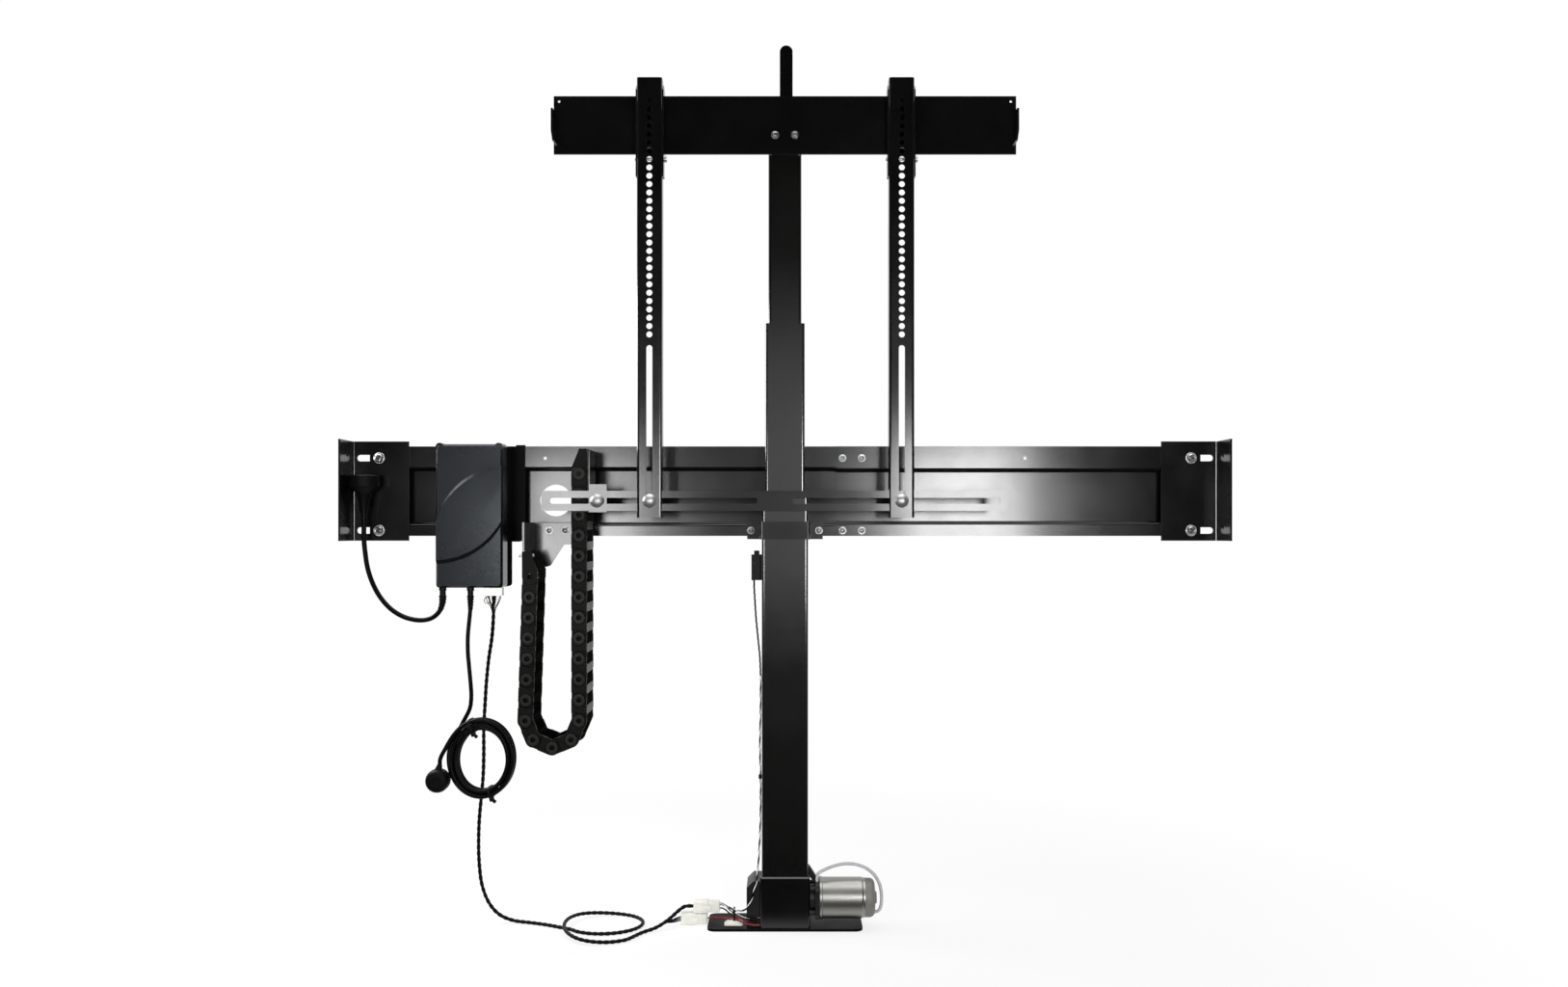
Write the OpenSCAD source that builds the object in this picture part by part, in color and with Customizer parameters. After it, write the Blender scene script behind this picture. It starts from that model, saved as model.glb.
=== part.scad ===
// Motor-driven telescopic TV lift: three-stage column, cabinet rail, control box, cable chain and TV frame.
// +X is to the right seen from the front, +Y is to the back, +Z is up.
// The origin is on the column's axis, on the floor.

/* [Column] */
// Outside width of the outer tube
outer_w = 70; // [66:1:80]
// Wall of the three tubes
tube_wall = 2; // [1.5:0.5:2.5]
// Space between two tubes, where the glide pads run
glide_gap = 3; // [2.5:0.5:4]
// Outside corner radius of the tubes
tube_r = 4; // [3:0.5:5]
// Length of the outer tube
outer_h = 654; // [620:1:700]
// Length of the middle tube
middle_h = 592; // [560:1:610]
// Length of the inner tube
inner_h = 618; // [590:1:650]
// How far the middle tube stands out of the outer tube
middle_out = 259; // [245:1:280]
// How far the inner tube stands out of the middle tube
inner_out = 338; // [335:1:360]
// Height of a glide pad
glide_h = 40; // [25:1:50]
// Width of a glide pad
glide_w = 30; // [20:1:36]

/* [Base and drive] */
// Width of the base plate
base_w = 235; // [200:1:280]
// Depth of the base plate
base_d = 80; // [76:1:110]
// Thickness of the base plate
base_t = 4; // [3:0.5:6]
// Corner radius of the base plate
base_r = 12; // [4:1:20]
// Thickness of the sheet cover at the column's foot
cover_t = 2.5; // [1.5:0.5:3]
// Height of the sheet cover
cover_h = 77; // [74:1:90]
// Diameter of the motor can
motor_d = 62; // [50:1:64]
// Length of the motor can
motor_len = 70; // [55:1:90]
// Length of the motor's end cap
motor_cap_len = 15; // [10:1:20]
// Length of the flange between gear housing and motor
flange_len = 13; // [11:1:18]
// Height of the motor's axis above the floor
motor_z = 46; // [44:1:50]
// Distance of the motor's axis in front of the column's axis
motor_off = 20; // [19:0.5:22]
// How far the gear housing stands out of the column on the left
housing_left = 23; // [16:1:30]
// Diameter of the worm
worm_d = 13.4; // [12:0.1:14]
// Diameter of the worm shaft
worm_shaft_d = 8; // [6:0.5:9]
// Diameter of the lower spindle
spindle_d = 20; // [18:0.5:22]
// Diameter of the lower spindle's journal
journal_d = 12; // [10:0.5:14]
// Length of the lower spindle above the gear housing
spindle_len = 500; // [480:1:520]
// Outside diameter of the upper spindle
upper_spindle_d = 34; // [33:0.5:36]
// Length of the upper spindle
upper_spindle_len = 485; // [470:1:500]
// Height of the two spindle nuts
nut_h = 30; // [20:1:34]

/* [Cabinet rail] */
// Height of the rail
rail_h = 140; // [130:1:150]
// Thickness of the rail's sheet
rail_t = 2; // [1.5:0.5:3]
// Depth of the rail's channel
rail_depth = 22; // [15:1:30]
// Height of the strip above the channel
rail_top_strip = 36; // [32:1:40]
// Height of the strip below the channel
rail_low_strip = 19.5; // [18:0.5:24]
// Height of the rail's lower edge above the floor
rail_z = 595; // [585:1:605]
// How far the rail's ends lie inside the end brackets' outer faces
rail_inset = 28; // [20:1:40]
// Where the right rail starts, right of the column
rail_right_start = 80; // [72:1:84]
// Where the left rail ends, right of the column
rail_left_end = 181; // [150:1:220]
// Diameter of the cable hole in the rail
cable_hole_d = 50; // [40:1:60]
// Width of an end bracket's plate
bracket_w = 90; // [80:1:96]
// Height of an end bracket
bracket_h = 155; // [150:1:170]
// How far an end bracket's flange reaches forwards
bracket_flange = 61; // [50:1:70]
// Outer face of the end brackets, from the column's axis
bracket_half = 677; // [672:1:690]
// Height between the wall holes of an end bracket
wall_pitch = 110; // [80:1:130]
// Width of an end bracket's slots
slot_w = 10; // [9:0.5:11]
// How far an end bracket can slide
bracket_travel = 30; // [20:1:32]
// Diameter of the wall holes in an end bracket's flange
wall_hole_d = 9; // [6:0.5:11]
// Height of the strap round the column
strap_h = 27; // [22:1:30]
// Length of a strap ear
strap_ear = 21; // [19:1:26]

/* [TV frame] */
// Width of the cross plate
plate_w = 700; // [660:1:760]
// Height of the cross plate
plate_h = 88; // [80:1:92]
// Sheet thickness of cross plate, crossbar, end brackets and strap
plate_t = 3; // [2:0.5:4]
// How far the cross plate's top stands over the inner tube
plate_rise = 6; // [2:1:10]
// Length of a TV arm
arm_h = 659; // [640:1:680]
// Width of a TV arm
arm_w = 38; // [34:1:44]
// Sheet thickness of a TV arm
arm_t = 2; // [1.5:0.5:2.5]
// How far a TV arm's web stands in front of the cross plate
arm_depth = 22; // [20:1:26]
// How far a TV arm's top stands over the cross plate
arm_rise = 21; // [15:1:28]
// Diameter of the TV arm's holes and width of its slot
arm_hole_d = 9; // [6:0.5:9.5]
// Distance between the TV arm's holes
arm_pitch = 12.5; // [11.5:0.5:12.5]
// Place of the left arm, left of the column
left_arm_x = 203; // [150:1:230]
// Place of the right arm, right of the column
right_arm_x = 175; // [120:1:260]
// Length of the slotted crossbar
bar_w = 700; // [690:1:740]
// Height of the slotted crossbar
bar_h = 30; // [28:1:36]
// Width of the slots in the crossbar
bar_slot_w = 9; // [8.6:0.2:11]
// Width of the lid arm
lid_arm_w = 20; // [14:1:26]
// How far the lid arm stands over the cross plate
lid_arm_rise = 97; // [60:1:115]

/* [Cable chain] */
// Distance between two chain pins
link_pitch = 31; // [30:0.5:32]
// Height of a chain link
link_h = 23; // [20:0.5:24]
// Width of the chain
chain_w = 70; // [60:1:71]
// Thickness of a link's side plates
link_t = 3; // [2.5:0.5:4]
// Diameter of the chain pins
link_pin_d = 8; // [6:0.5:9]
// Links in the fixed run
fixed_links = 7; // [6:1:8]
// Links in the moving run
moving_links = 12; // [11:1:13]
// Height of the bend's first pin
chain_bend_z = 317; // [310:1:325]

/* [Control box] */
// Width of the control box
box_w = 101; // [90:1:104]
// Height of the control box
box_h = 217; // [200:1:220]
// Depth of the control box
box_d = 73; // [64:1:74]
// Corner radius of the control box
box_r = 5; // [3:0.5:7]
// Height of the raised panel on the lid
panel_rise = 4; // [2:0.5:6]
// Diameter of the cable glands
gland_d = 11; // [10:0.5:12]
// Length of the cable glands
gland_h = 12; // [8:1:16]

/* [Cords] */
// Diameter of the socket lead
socket_lead_d = 7.4; // [6:0.2:7.6]
// Diameter of the mains lead
mains_d = 6.4; // [5:0.2:6.4]
// Diameter of the sleeved harness
harness_d = 6; // [4:0.2:6.4]
// Diameter of the motor's cable
motor_cable_d = 5; // [4:0.2:5.4]
// Diameter of the limit switch's wire
switch_wire_d = 3; // [2:0.2:3.4]
// Clear space between two turns of a cord
turn_gap = 0.7; // [0.5:0.1:1.5]

/* [Hidden] */
$fn = 32;
black = "#1b1b1d";
plastic = "#242427";
zinc = "#c9ccd0";
nylon = "#e9e7df";
grey = "#8f9296";
brass = "#b8924a";

// Clearances
slide_clear = 0.3;
run_clear = 0.05;
hole_clear = 0.4;
seat_clear = 0.2;
play = 0.1;

// Column, from the floor up
outer_in = outer_w - 2 * tube_wall;
middle_w = outer_in - 2 * glide_gap;
middle_in = middle_w - 2 * tube_wall;
inner_w = middle_in - 2 * glide_gap;
inner_in = inner_w - 2 * tube_wall;
outer_top = base_t + outer_h;
middle_top = outer_top + middle_out;
middle_foot = middle_top - middle_h;
inner_top = middle_top + inner_out;
inner_foot = inner_top - inner_h;
glide_t = glide_gap - slide_clear;
glide_inset = 5;

// Gear housing and drive
housing_d = outer_in - 6;
housing_right = outer_w / 2 + 3;
housing_x0 = -outer_w / 2 - housing_left;
housing_top = motor_z + 27;
housing_chamfer = 10;
wheel_h = 16;
wheel_d = 2 * (motor_off - worm_d / 2 - slide_clear);
wheel_room = 2;
worm_len = 36;
worm_x0 = housing_x0 + 10;
worm_x1 = housing_right + flange_len + 11;
bearing_d = 32;
bearing_h = 10;
bearing_z = motor_z + wheel_h / 2 + 4;
journal_z = motor_z - wheel_h / 2 - 14;
spindle_z = housing_top + 2;
spindle_top = spindle_z + spindle_len;
key_w = 4.4;
key_h = 15;
key_reach = 13.5;
upper_bore_d = spindle_d + 3;
upper_bearing_h = 12;
upper_spindle_z = middle_foot + nut_h + slide_clear;
motor_x0 = housing_right + flange_len;
motor_x1 = motor_x0 + motor_len;
motor_x2 = motor_x1 + motor_cap_len;
cap_hole_z = motor_z - motor_d / 2 + 9;

// Cabinet rail
rail_front = outer_w / 2;
rail_half = bracket_half - rail_inset;
rail_top = rail_z + rail_h;
rail_bend = 2;
channel_top = rail_top - rail_top_strip;
channel_low = rail_z + rail_low_strip;
top_bolt_z = rail_top - 18.5;
low_bolt_z = rail_z + 8.5;
rail_mid_z = rail_z + rail_h / 2;
splice_x = [rail_right_start + 10, rail_right_start + 40];
cable_hole_x = -362;
cable_hole_z = rail_mid_z - 14;
m6 = 6;
m6_head = 11.6;
m6_head_h = 5;
m8 = 8;
m8_head = 17.4;
m8_head_h = 7;
bracket_bolt_x = bracket_half - 44;
bracket_r = 2;
bracket_seat = rail_front - play;
bracket_mid_z = rail_mid_z;
hang_hole_x = 375;
hang_hole_d = 5;
strap_ear_x = outer_w / 2 + plate_t;
strap_bolt_x = strap_ear_x + strap_ear - 6;
strap_lip = 4;
strap_lip_t = 2;

// TV frame
plate_front = -inner_w / 2 - plate_t;
plate_top = inner_top + plate_rise;
plate_low = plate_top - plate_h;
plate_bolt_x = 15;
plate_bolt_z = plate_low + 29;
tab_h = 45;
tab_reach = 25;
tab_low = 17;
tab_cut = 12;
corner_hole = 8;
corner_hole_d = 4;
arm_top = plate_top + arm_rise;
arm_low = arm_top - arm_h;
arm_back = plate_front - slide_clear;
arm_front = plate_front - arm_depth;
arm_r = 2;
arm_holes = 29;
arm_hole_top = arm_top - 35;
arm_slot_top = arm_hole_top - (arm_holes - 1) * arm_pitch - 16;
arm_slot_low = arm_low + 14;
hook_low = plate_low - 38;
hook_t = 2;
hook_drop = 16;
bar_z = arm_low + 25;
bar_front = arm_front + arm_t + slide_clear;
bar_back = bar_front + plate_t;
bar_mid_x = -15;
bar_r = 3;
bar_slot_in = 26;
bar_slot_out = bar_w / 2 - 12;
bar_notch = 2;
carriage_d = 20.6;
carriage_h = 5;
lid_arm_t = 3;
lid_arm_drop = 70;
lid_arm_x = 2;
lid_bolts = [plate_low + 18, plate_low + 58];
lock_y = arm_back - 8;
lock_z = plate_low - 10;
lock_d = 5;
lock_head_d = 10;
lock_head_h = 4;

// Cable chain: its fixed run leans a little, and the four links of its bend turn 45 degrees from one to the next
chain_mid_y = -6;
chain_top_x = -384;
chain_left_x = -391;
fixed_lean = asin((chain_top_x - chain_left_x) / (fixed_links * link_pitch));
bend_turns = [157.5, 112.5, 67.5, 22.5];
chain_right_x = chain_left_x + 2 * link_pitch * (sin(22.5) + cos(22.5));
fixed_pin_z = chain_bend_z + fixed_links * link_pitch * cos(fixed_lean);
moving_pin_z = chain_bend_z + moving_links * link_pitch;
plate_gap = 0.3;
link_inner_y = chain_w / 2 - 2 * link_t - plate_gap;
link_outer_y = chain_w / 2 - link_t;
link_room = 0.6;
pin_proud = 0.8;
tie_bar_t = 3;
tie_bar_w = 13;
end_reach = 38;
end_slant = 28;
end_plate_t = 2;
end_screw_d = 4;
end_screw_head = 7;
end_screw_head_h = 2.6;
end_screw_tip = 8;
end_screw_y = 20;
end_screw_z = fixed_pin_z + 31;
gusset_t = 3;
gusset_x0 = chain_top_x - link_h / 2 + 0.5;
gusset_x1 = gusset_x0 + 70;
gusset_low = fixed_pin_z + link_h / 2 + 1.5;
gusset_shoulder = fixed_pin_z + end_reach + 1.5;
gusset_top = rail_z + rail_low_strip + 1;
gusset_bolts = [gusset_x0 + 27, gusset_x0 + 51.5];
chain_bracket_x = chain_right_x + link_h / 2;
chain_bracket_w = 31;
chain_bracket_low = bar_z - 17;
chain_bracket_top = moving_pin_z + end_reach - 1;
foot_h = 42;
chain_bolt_x = chain_bracket_x + chain_bracket_w / 2 + 1;

// Limit switch on the outer tube's left side
switch_w = 16;
switch_h = 39;
switch_z = 528;
switch_y = -20;
switch_knob = 3;

// Control box
box_x = -476.5;
box_wall = 2.5;
box_back = rail_front - 2;
box_front = box_back - box_d;
box_z = 517;
box_top = box_z + box_h;
lid_d = 38;
lid_y = box_front + lid_d;
mount_plate_t = 2;
mount_plate_x0 = box_x - 30;
mount_plate_x1 = -406;
mount_plate_low = 586;
mount_hook = 12;
mount_hook_w = 14;
mount_corner = 10;
lid_edge = 3;
lid_boss_r = 6;
leaf_left = [36, 105];
leaf_right = [94, 184];
leaf_bulge = [15, 20];
leaf_bevel = 6;
leaf_side = 1.5;
gland_y = -28;
gland_x = [-518, -476];
connector_x = -441;
connector_size = [28, 14, 12];

// Socket and plug
socket_d = 46;
socket_head_h = 20;
socket_neck_h = 39;
socket_rim = 3.5;
socket_well = 13;
socket_x = -bracket_half + 27.5;
socket_y = bracket_seat - plate_t - socket_d / 2 - slide_clear;
socket_z = 630;
plug_d = 35;
plug_h = 22;
plug_pin_d = 4.8;
plug_pin_gap = 19;
plug_pin_h = 12;
plug_neck_d = 13;

// Coil of the mains lead, hanging from it in four layers of two turns
coil_mid = [-458.5, -28, 258.5];
coil_a = 51;
coil_b = 60;
coil_turns = 8;
coil_layer_turns = 2;
coil_start = 140;
coil_rings = 24;
coil_step = mains_d + turn_gap;

// Loop of the harness on the floor
loop_mid = [-275, -10];
loop_a = 58;
loop_b = 50;
loop_start = 215;
loop_turns = 1.3;
loop_rings = 24;
loop_drift = 42;
loop_drift_from = 0.75;
loop_drift_to = 1.12;
floor_z = harness_d / 2 + 0.2;
loop_rise = harness_d + turn_gap;
loop_hump = 0.92;
loop_hump_half = 0.34;

// Two plug blocks of the harness, one lying on the other, and a tie mount on the base plate
block_size = [40, 18, 18];
lower_block = [-159, -block_size[1] / 2, 0];
upper_block = [-140, -block_size[1] / 2, block_size[2]];
wire_d = 2.4;
tie_mount = [28, 18, 3];
tie_mount_at = [-92, -26, base_t];

// Routes of the cords, by hand
socket_route = [
    [socket_x, socket_y, socket_z], [socket_x, socket_y, 612], [socket_x + 0.5, 7, 592],
    [socket_x + 2.5, 6, 572], [socket_x + 7.5, 3, 546], [socket_x + 16.5, 0, 522], [socket_x + 29.5, -4, 501],
    [-603, -9, 484], [-584, -13.5, 473], [-565, -18.5, 468], [-548, -22, 467.5], [-533.5, -25, 472],
    [-522.5, -27, 482.5], [gland_x[0], gland_y, 497], [gland_x[0], gland_y, box_z - gland_h]
];
mains_route = [
    [gland_x[1], gland_y, box_z - gland_h], [gland_x[1], gland_y, 488], [-478, -28, 466], [-480, -28, 444],
    [-480, -28, 420], [-478, -28, 396], [-476, -28, 374], [-475.5, -25, 353], [-479, -20, 333]
];
mains_tail = [[-506, -38.7, 284.5], [-511.8, -38.6, 274], [-517, -38, 265]];
harness_route = [
    [connector_x, gland_y, box_z - connector_size[2]], [connector_x, gland_y, 490], [-442, -26, 468],
    [-446, -18, 440], [-453, -8, 408], [-458, -1, 374], [-461, 2, 338], [-463, 2, 300], [-463, 2, 262],
    [-464, 2, 226], [-467, 2, 192], [-470, 2, 158], [-471, 2, 124], [-470, 2, 92], [-466, 2, 60],
    [-456, 2, 33], [-440, 2, 14], [-418, 0, 5], [-392, -5, floor_z], [-366, -15, floor_z],
    [-343, -27, floor_z]
];
harness_tail = [
    [-213, -54, floor_z], [-196, -39, 5], [-184, -28, 9], [-173, -18, 15], [-164, -8, 21], [-155, -1, 26],
    [-147, 0, 27], [upper_block[0], 0, 27]
];
motor_cable_route = [
    [motor_x2 - 7, -motor_off, cap_hole_z], [motor_x2 + 0.5, -motor_off, cap_hole_z], [141.5, -20, 25.6],
    [145, -20, 30], [146.8, -20, 40], [146.5, -20, 53], [143.5, -20, 67], [136, -20, 80], [124, -20, 90],
    [108, -20, 96], [91, -20, 97],
    [76, -23, 95], [62, -28, 91], [51, -31.5, 86], [motor_x0 - 2.5, -32, 80],
    [motor_x0 - 2.5, -32, motor_z + motor_d / 2 - 3]
];
switch_route = [
    [-47, -12, switch_z], [-47, -12, 518], [-46, -13, 500], [-44, -15, 470], [-41, -18, 440], [-38, -21, 410],
    [-37, -22, 380], [-37, -22, 330], [-38, -22, 280], [-37, -22, 230], [-37, -22, 180], [-38, -24, 140],
    [-39.5, -28.5, 112], [-40.8, -32.4, 92], [-43.5, -33, 72], [-47.5, -33, 56], [-52.5, -33, 42],
    [-58.5, -32.6, 32.5], [-66, -28, 27.5], [-75, -20.5, 26.5], [-84, -13, 28], [-92, -7.5, 30], [-97, -5.5, 31],
    [upper_block[0] + block_size[0], -5.5, 31]
];
wire_end = [-outer_w / 2 - cover_t, -housing_d / 2 - 2.6];
wire_routes = [
    [[upper_block[0] + block_size[0], 0, 31], [-97, 0, 31], [-92, -2.2, 28.8], [-87, -6, 25.4],
        [-80, -13, 21.6], [-72, -20.5, 20.4], [-64, -28, 19.6], [-55, -32.4, 18.6], [-46, wire_end[1], 18],
        [wire_end[0], wire_end[1], 18]],
    [[upper_block[0] + block_size[0], 0, 24], [-97, 0, 24], [-92, -2.2, 22.2], [-87, -6, 19.6],
        [-80, -13, 17], [-72, -20.5, 16], [-64, -28, 15], [-55, -32.4, 14], [-46, wire_end[1], 13],
        [wire_end[0], wire_end[1], 13]],
    [[lower_block[0] + block_size[0], 0, 9], [-116, 0, 9], [-110, -1.8, 9.7], [-103, -4.5, 10.8],
        [-94, -9, 11.6], [-84, -13.5, 12], [-74, -20, 12], [-64, -28, 10.6], [-55, -32.4, 9],
        [-46, wire_end[1], 8], [wire_end[0], wire_end[1], 8]]
];

// Vectors and routes
function unit(v) = v / norm(v);
function left_of(d) = [-d[1], d[0]];
function turn_of(a, b) = a[0] * b[1] - a[1] * b[0];

// A smooth curve through the points of a route, with a few steps between two of them. Its first and last
// stretches are straight, so that a cord leaves one piece and meets the other square.
function spline_at(p, i, u) =
    let (n = len(p) - 1, a = p[max(i - 1, 0)], b = p[i], c = p[min(i + 1, n)], d = p[min(i + 2, n)])
    0.5 * (2 * b + (c - a) * u + (2 * a - 5 * b + 4 * c - d) * u * u + (3 * b - a - 3 * c + d) * u * u * u);
function smooth(p, steps) = concat(
    [p[0]],
    [for (i = [1 : len(p) - 3]) for (k = [0 : steps - 1]) spline_at(p, i, k / steps)],
    [p[len(p) - 2], p[len(p) - 1]]
);

// Frames carried along a path without twist
function tangents(p) = [for (i = [0 : len(p) - 1]) unit(p[min(i + 1, len(p) - 1)] - p[max(i - 1, 0)])];
function carried(t, start, i = 0, done = []) =
    i == len(t) ? done :
    let (last = i == 0 ? start : done[i - 1])
    carried(t, start, i + 1, concat(done, [unit(last - (last * t[i]) * t[i])]));

// A cord: one closed tube of triangles along a path
module cord(path, d, sides = 8) {
    t = tangents(path);
    n = carried(t, abs(t[0][1]) > 0.9 ? [1, 0, 0] : [0, 1, 0]);
    last = len(path) - 1;
    rings = [for (i = [0 : last]) for (j = [0 : sides - 1])
        let (a = 360 * j / sides) path[i] + d / 2 * (cos(a) * n[i] + sin(a) * cross(t[i], n[i]))];
    walls = [for (i = [0 : last - 1]) for (j = [0 : sides - 1])
        let (k = (j + 1) % sides, a = i * sides + j, b = i * sides + k)
        each [[a, b, a + sides], [b, b + sides, a + sides]]];
    caps = [for (j = [1 : sides - 2]) each
        [[0, j + 1, j], [last * sides, last * sides + j, last * sides + j + 1]]];
    polyhedron(points = rings, faces = [for (f = concat(walls, caps)) [f[0], f[2], f[1]]]);
}

// Path of the coil: it spirals in and out again, and climbs a layer in each half turn where it reverses
function coil_in(u) = let (v = u % (2 * coil_layer_turns)) min(v, 2 * coil_layer_turns - v) * coil_step;
function coil_level(u) = let (layers = coil_turns / coil_layer_turns, k = round(u / coil_layer_turns))
    k <= 0 ? 0 : k >= layers ? layers - 1 : k - 0.5 + max(-0.5, min(0.5, 2 * (u - k * coil_layer_turns)));
function coil_at(u) =
    let (a = coil_start + 360 * u, layers = coil_turns / coil_layer_turns, r = coil_in(u))
    coil_mid + [(coil_a - r) * cos(a), ((layers - 1) / 2 - coil_level(u)) * coil_step, (coil_b - r) * sin(a)];
coil_loops = [for (i = [0 : coil_turns * coil_rings]) coil_at(i / coil_rings)];
coil_lead = unit(coil_loops[0] - coil_loops[1]);
coil_join = coil_loops[0] + coil_lead * mains_d;
plug_top = [-520, -37, 250];
plug_mid = [-523.5, -37, 226.5];
coil_path = concat([coil_join], coil_loops, smooth(mains_tail, 2), [plug_top + [0, 0, mains_d], plug_top]);
mains_path = concat(smooth(mains_route, 2), [coil_join + coil_lead * 2 * mains_d, coil_join]);

// Path of the harness: down to the floor, round its loop with a hump where it crosses itself, and to the plugs
function loop_lift(t) = let (e = min(1, abs(t - loop_hump) / loop_hump_half))
    loop_rise * (1 + cos(180 * e)) / 2;
function loop_shift(t) =
    let (e = max(0, min(1, (t - loop_drift_from) / (loop_drift_to - loop_drift_from))))
    loop_drift * e * e * (3 - 2 * e);
function loop_at(t) = let (a = loop_start + 360 * t)
    [loop_mid[0] + loop_a * cos(a), loop_mid[1] - loop_shift(t) + loop_b * sin(a), floor_z + loop_lift(t)];
loop_path = [for (i = [0 : loop_turns * loop_rings]) loop_at(i / loop_rings)];
harness_path = concat(smooth(harness_route, 2), loop_path, smooth(harness_tail, 2));

// Least gap of a cord to itself, measured between points that lie more than some rings apart
function self_gap(p, d, apart) =
    min([for (i = [0 : len(p) - 1 - apart]) for (j = [i + apart : len(p) - 1]) norm(p[i] - p[j])]) - d;
echo(coil_gap = self_gap(coil_path, mains_d, 10), harness_gap = self_gap(harness_path, harness_d, 10));

// Outline of a bent sheet: its outer face runs along the points, and the sheet lies to their left
function bend_points(a, b, c, r) =
    let (d = unit(a - b), e = unit(c - b), m = b + (d + e) * r)
    [for (k = [0 : 4]) m - r * (e * cos(22.5 * k) + d * sin(22.5 * k))];
function shifted(p, t) = [for (i = [0 : len(p) - 1])
    let (d = unit(p[max(i, 1)] - p[max(i, 1) - 1]), inside = i > 0 && i < len(p) - 1)
    p[i] + t * left_of(d) + (inside ? t * left_of(unit(p[i + 1] - p[i])) : [0, 0])];
function bent(p, r_left, r_right) = concat(
    [p[0]],
    [for (i = [1 : len(p) - 2])
        let (side = turn_of(p[i] - p[i - 1], p[i + 1] - p[i]))
        each bend_points(p[i - 1], p[i], p[i + 1], side > 0 ? r_left : r_right)],
    [p[len(p) - 1]]
);
function reversed(p) = [for (i = [len(p) - 1 : -1 : 0]) p[i]];
module bent_sheet(p, t, r) {
    polygon(concat(bent(p, r + t, r), reversed(bent(shifted(p, t), r, r + t))));
}

// Extrusions along the three axes
module along_x(x0, x1) { translate([x0, 0, 0]) rotate([90, 0, 90]) linear_extrude(x1 - x0) children(); }
module along_y(y0, y1) { translate([0, y1, 0]) rotate([90, 0, 0]) linear_extrude(y1 - y0) children(); }
module along_z(z0, z1) { translate([0, 0, z0]) linear_extrude(z1 - z0) children(); }

// Plain shapes that repeat
module rounded(w, h, r) {
    square([w - 2 * r, h], center = true);
    square([w, h - 2 * r], center = true);
    for (x = [-1, 1], y = [-1, 1]) translate([x * (w / 2 - r), y * (h / 2 - r)]) circle(r);
}
module slot(length, width) {
    square([length - width, width], center = true);
    for (x = [-1, 1]) translate([x * (length - width) / 2, 0]) circle(width / 2);
}
module hole_y(x, z, d, y0, y1) {
    translate([x, y1 + 1, z]) rotate([90, 0, 0]) cylinder(d = d, h = y1 - y0 + 2);
}
module square_tube(w, z0, z1) {
    along_z(z0, z1) difference() {
        rounded(w, w, tube_r);
        rounded(w - 2 * tube_wall, w - 2 * tube_wall, tube_r - tube_wall + 0.5);
    }
}
module four_pads(x, z) {
    for (a = [0 : 90 : 270]) rotate(a) translate([x, -glide_w / 2, z]) cube([glide_t, glide_w, glide_h]);
}

// Bolt along Y: the head's underside is on the plane y, and a nut sits behind the grip
module bolt_y(x, y, z, shank, head, head_h, grip) {
    nut = shank * 1.85;
    translate([x, y, z]) rotate([90, 0, 0]) {
        cylinder(d = head, h = head_h * 0.3);
        cylinder(d = head * 0.86, h = head_h, $fn = 6);
        translate([0, 0, -grip - shank]) cylinder(d = shank, h = grip + shank);
        translate([0, 0, -grip - shank * 0.8]) cylinder(d = nut, h = shank * 0.8, $fn = 6);
    }
}
// Carriage bolt along Y with a domed head
module carriage_y(x, y, z, grip) {
    dome_r = (carriage_d * carriage_d / 4 + carriage_h * carriage_h) / (2 * carriage_h);
    translate([x, y, z]) rotate([90, 0, 0]) {
        intersection() {
            cylinder(d = carriage_d, h = carriage_h);
            translate([0, 0, carriage_h - dome_r]) sphere(dome_r);
        }
        translate([0, 0, -grip - m8]) cylinder(d = m8, h = grip + m8);
        translate([0, 0, -grip - m8 * 0.8]) cylinder(d = m8 * 1.8, h = m8 * 0.8, $fn = 6);
    }
}

// Base and drive
module base_plate() color(black) along_z(0, base_t) rounded(base_w, base_d, base_r);

module outer_tube() color(black) difference() {
    square_tube(outer_w, base_t, outer_top);
    translate([-outer_w, -housing_d / 2 - slide_clear, base_t - 1])
        cube([2 * outer_w, housing_d + 2 * slide_clear, housing_top + slide_clear - base_t + 1]);
}

module gear_housing() color(black) difference() {
    along_y(-housing_d / 2, housing_d / 2) polygon([
        [housing_x0, base_t], [housing_right, base_t], [housing_right, housing_top],
        [housing_x0 + housing_chamfer, housing_top], [housing_x0, housing_top - housing_chamfer]
    ]);
    translate([0, 0, motor_z - wheel_h / 2 - wheel_room])
        cylinder(d = wheel_d + 2 * wheel_room, h = wheel_h + 2 * wheel_room);
    translate([0, 0, journal_z - 1]) cylinder(d = journal_d + 2 * run_clear, h = housing_top);
    translate([0, 0, bearing_z]) cylinder(d = bearing_d, h = bearing_h);
    translate([0, 0, bearing_z + bearing_h - 1]) cylinder(d = journal_d + 2, h = housing_top);
    translate([worm_x0 - 1, -motor_off, motor_z]) rotate([0, 90, 0])
        cylinder(d = worm_shaft_d + 2 * run_clear, h = housing_right - worm_x0 + 2);
    translate([-worm_len / 2 - wheel_room, -motor_off, motor_z]) rotate([0, 90, 0])
        cylinder(d = worm_d + wheel_room, h = worm_len + 2 * wheel_room);
}

module housing_cover() color(black) {
    x = outer_w / 2 + cover_t;
    y = -outer_w / 2 - cover_t;
    difference() {
        along_z(base_t, base_t + cover_h)
            bent_sheet([[-x, -housing_d / 2 - 1], [-x, y], [x, y], [x, -housing_d / 2 - 1]], cover_t, 1);
        translate([0, y, base_t + cover_h]) rotate([45, 0, 0])
            cube([2 * x + 2, cover_t * 1.2, cover_t * 1.2], center = true);
    }
}

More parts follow.
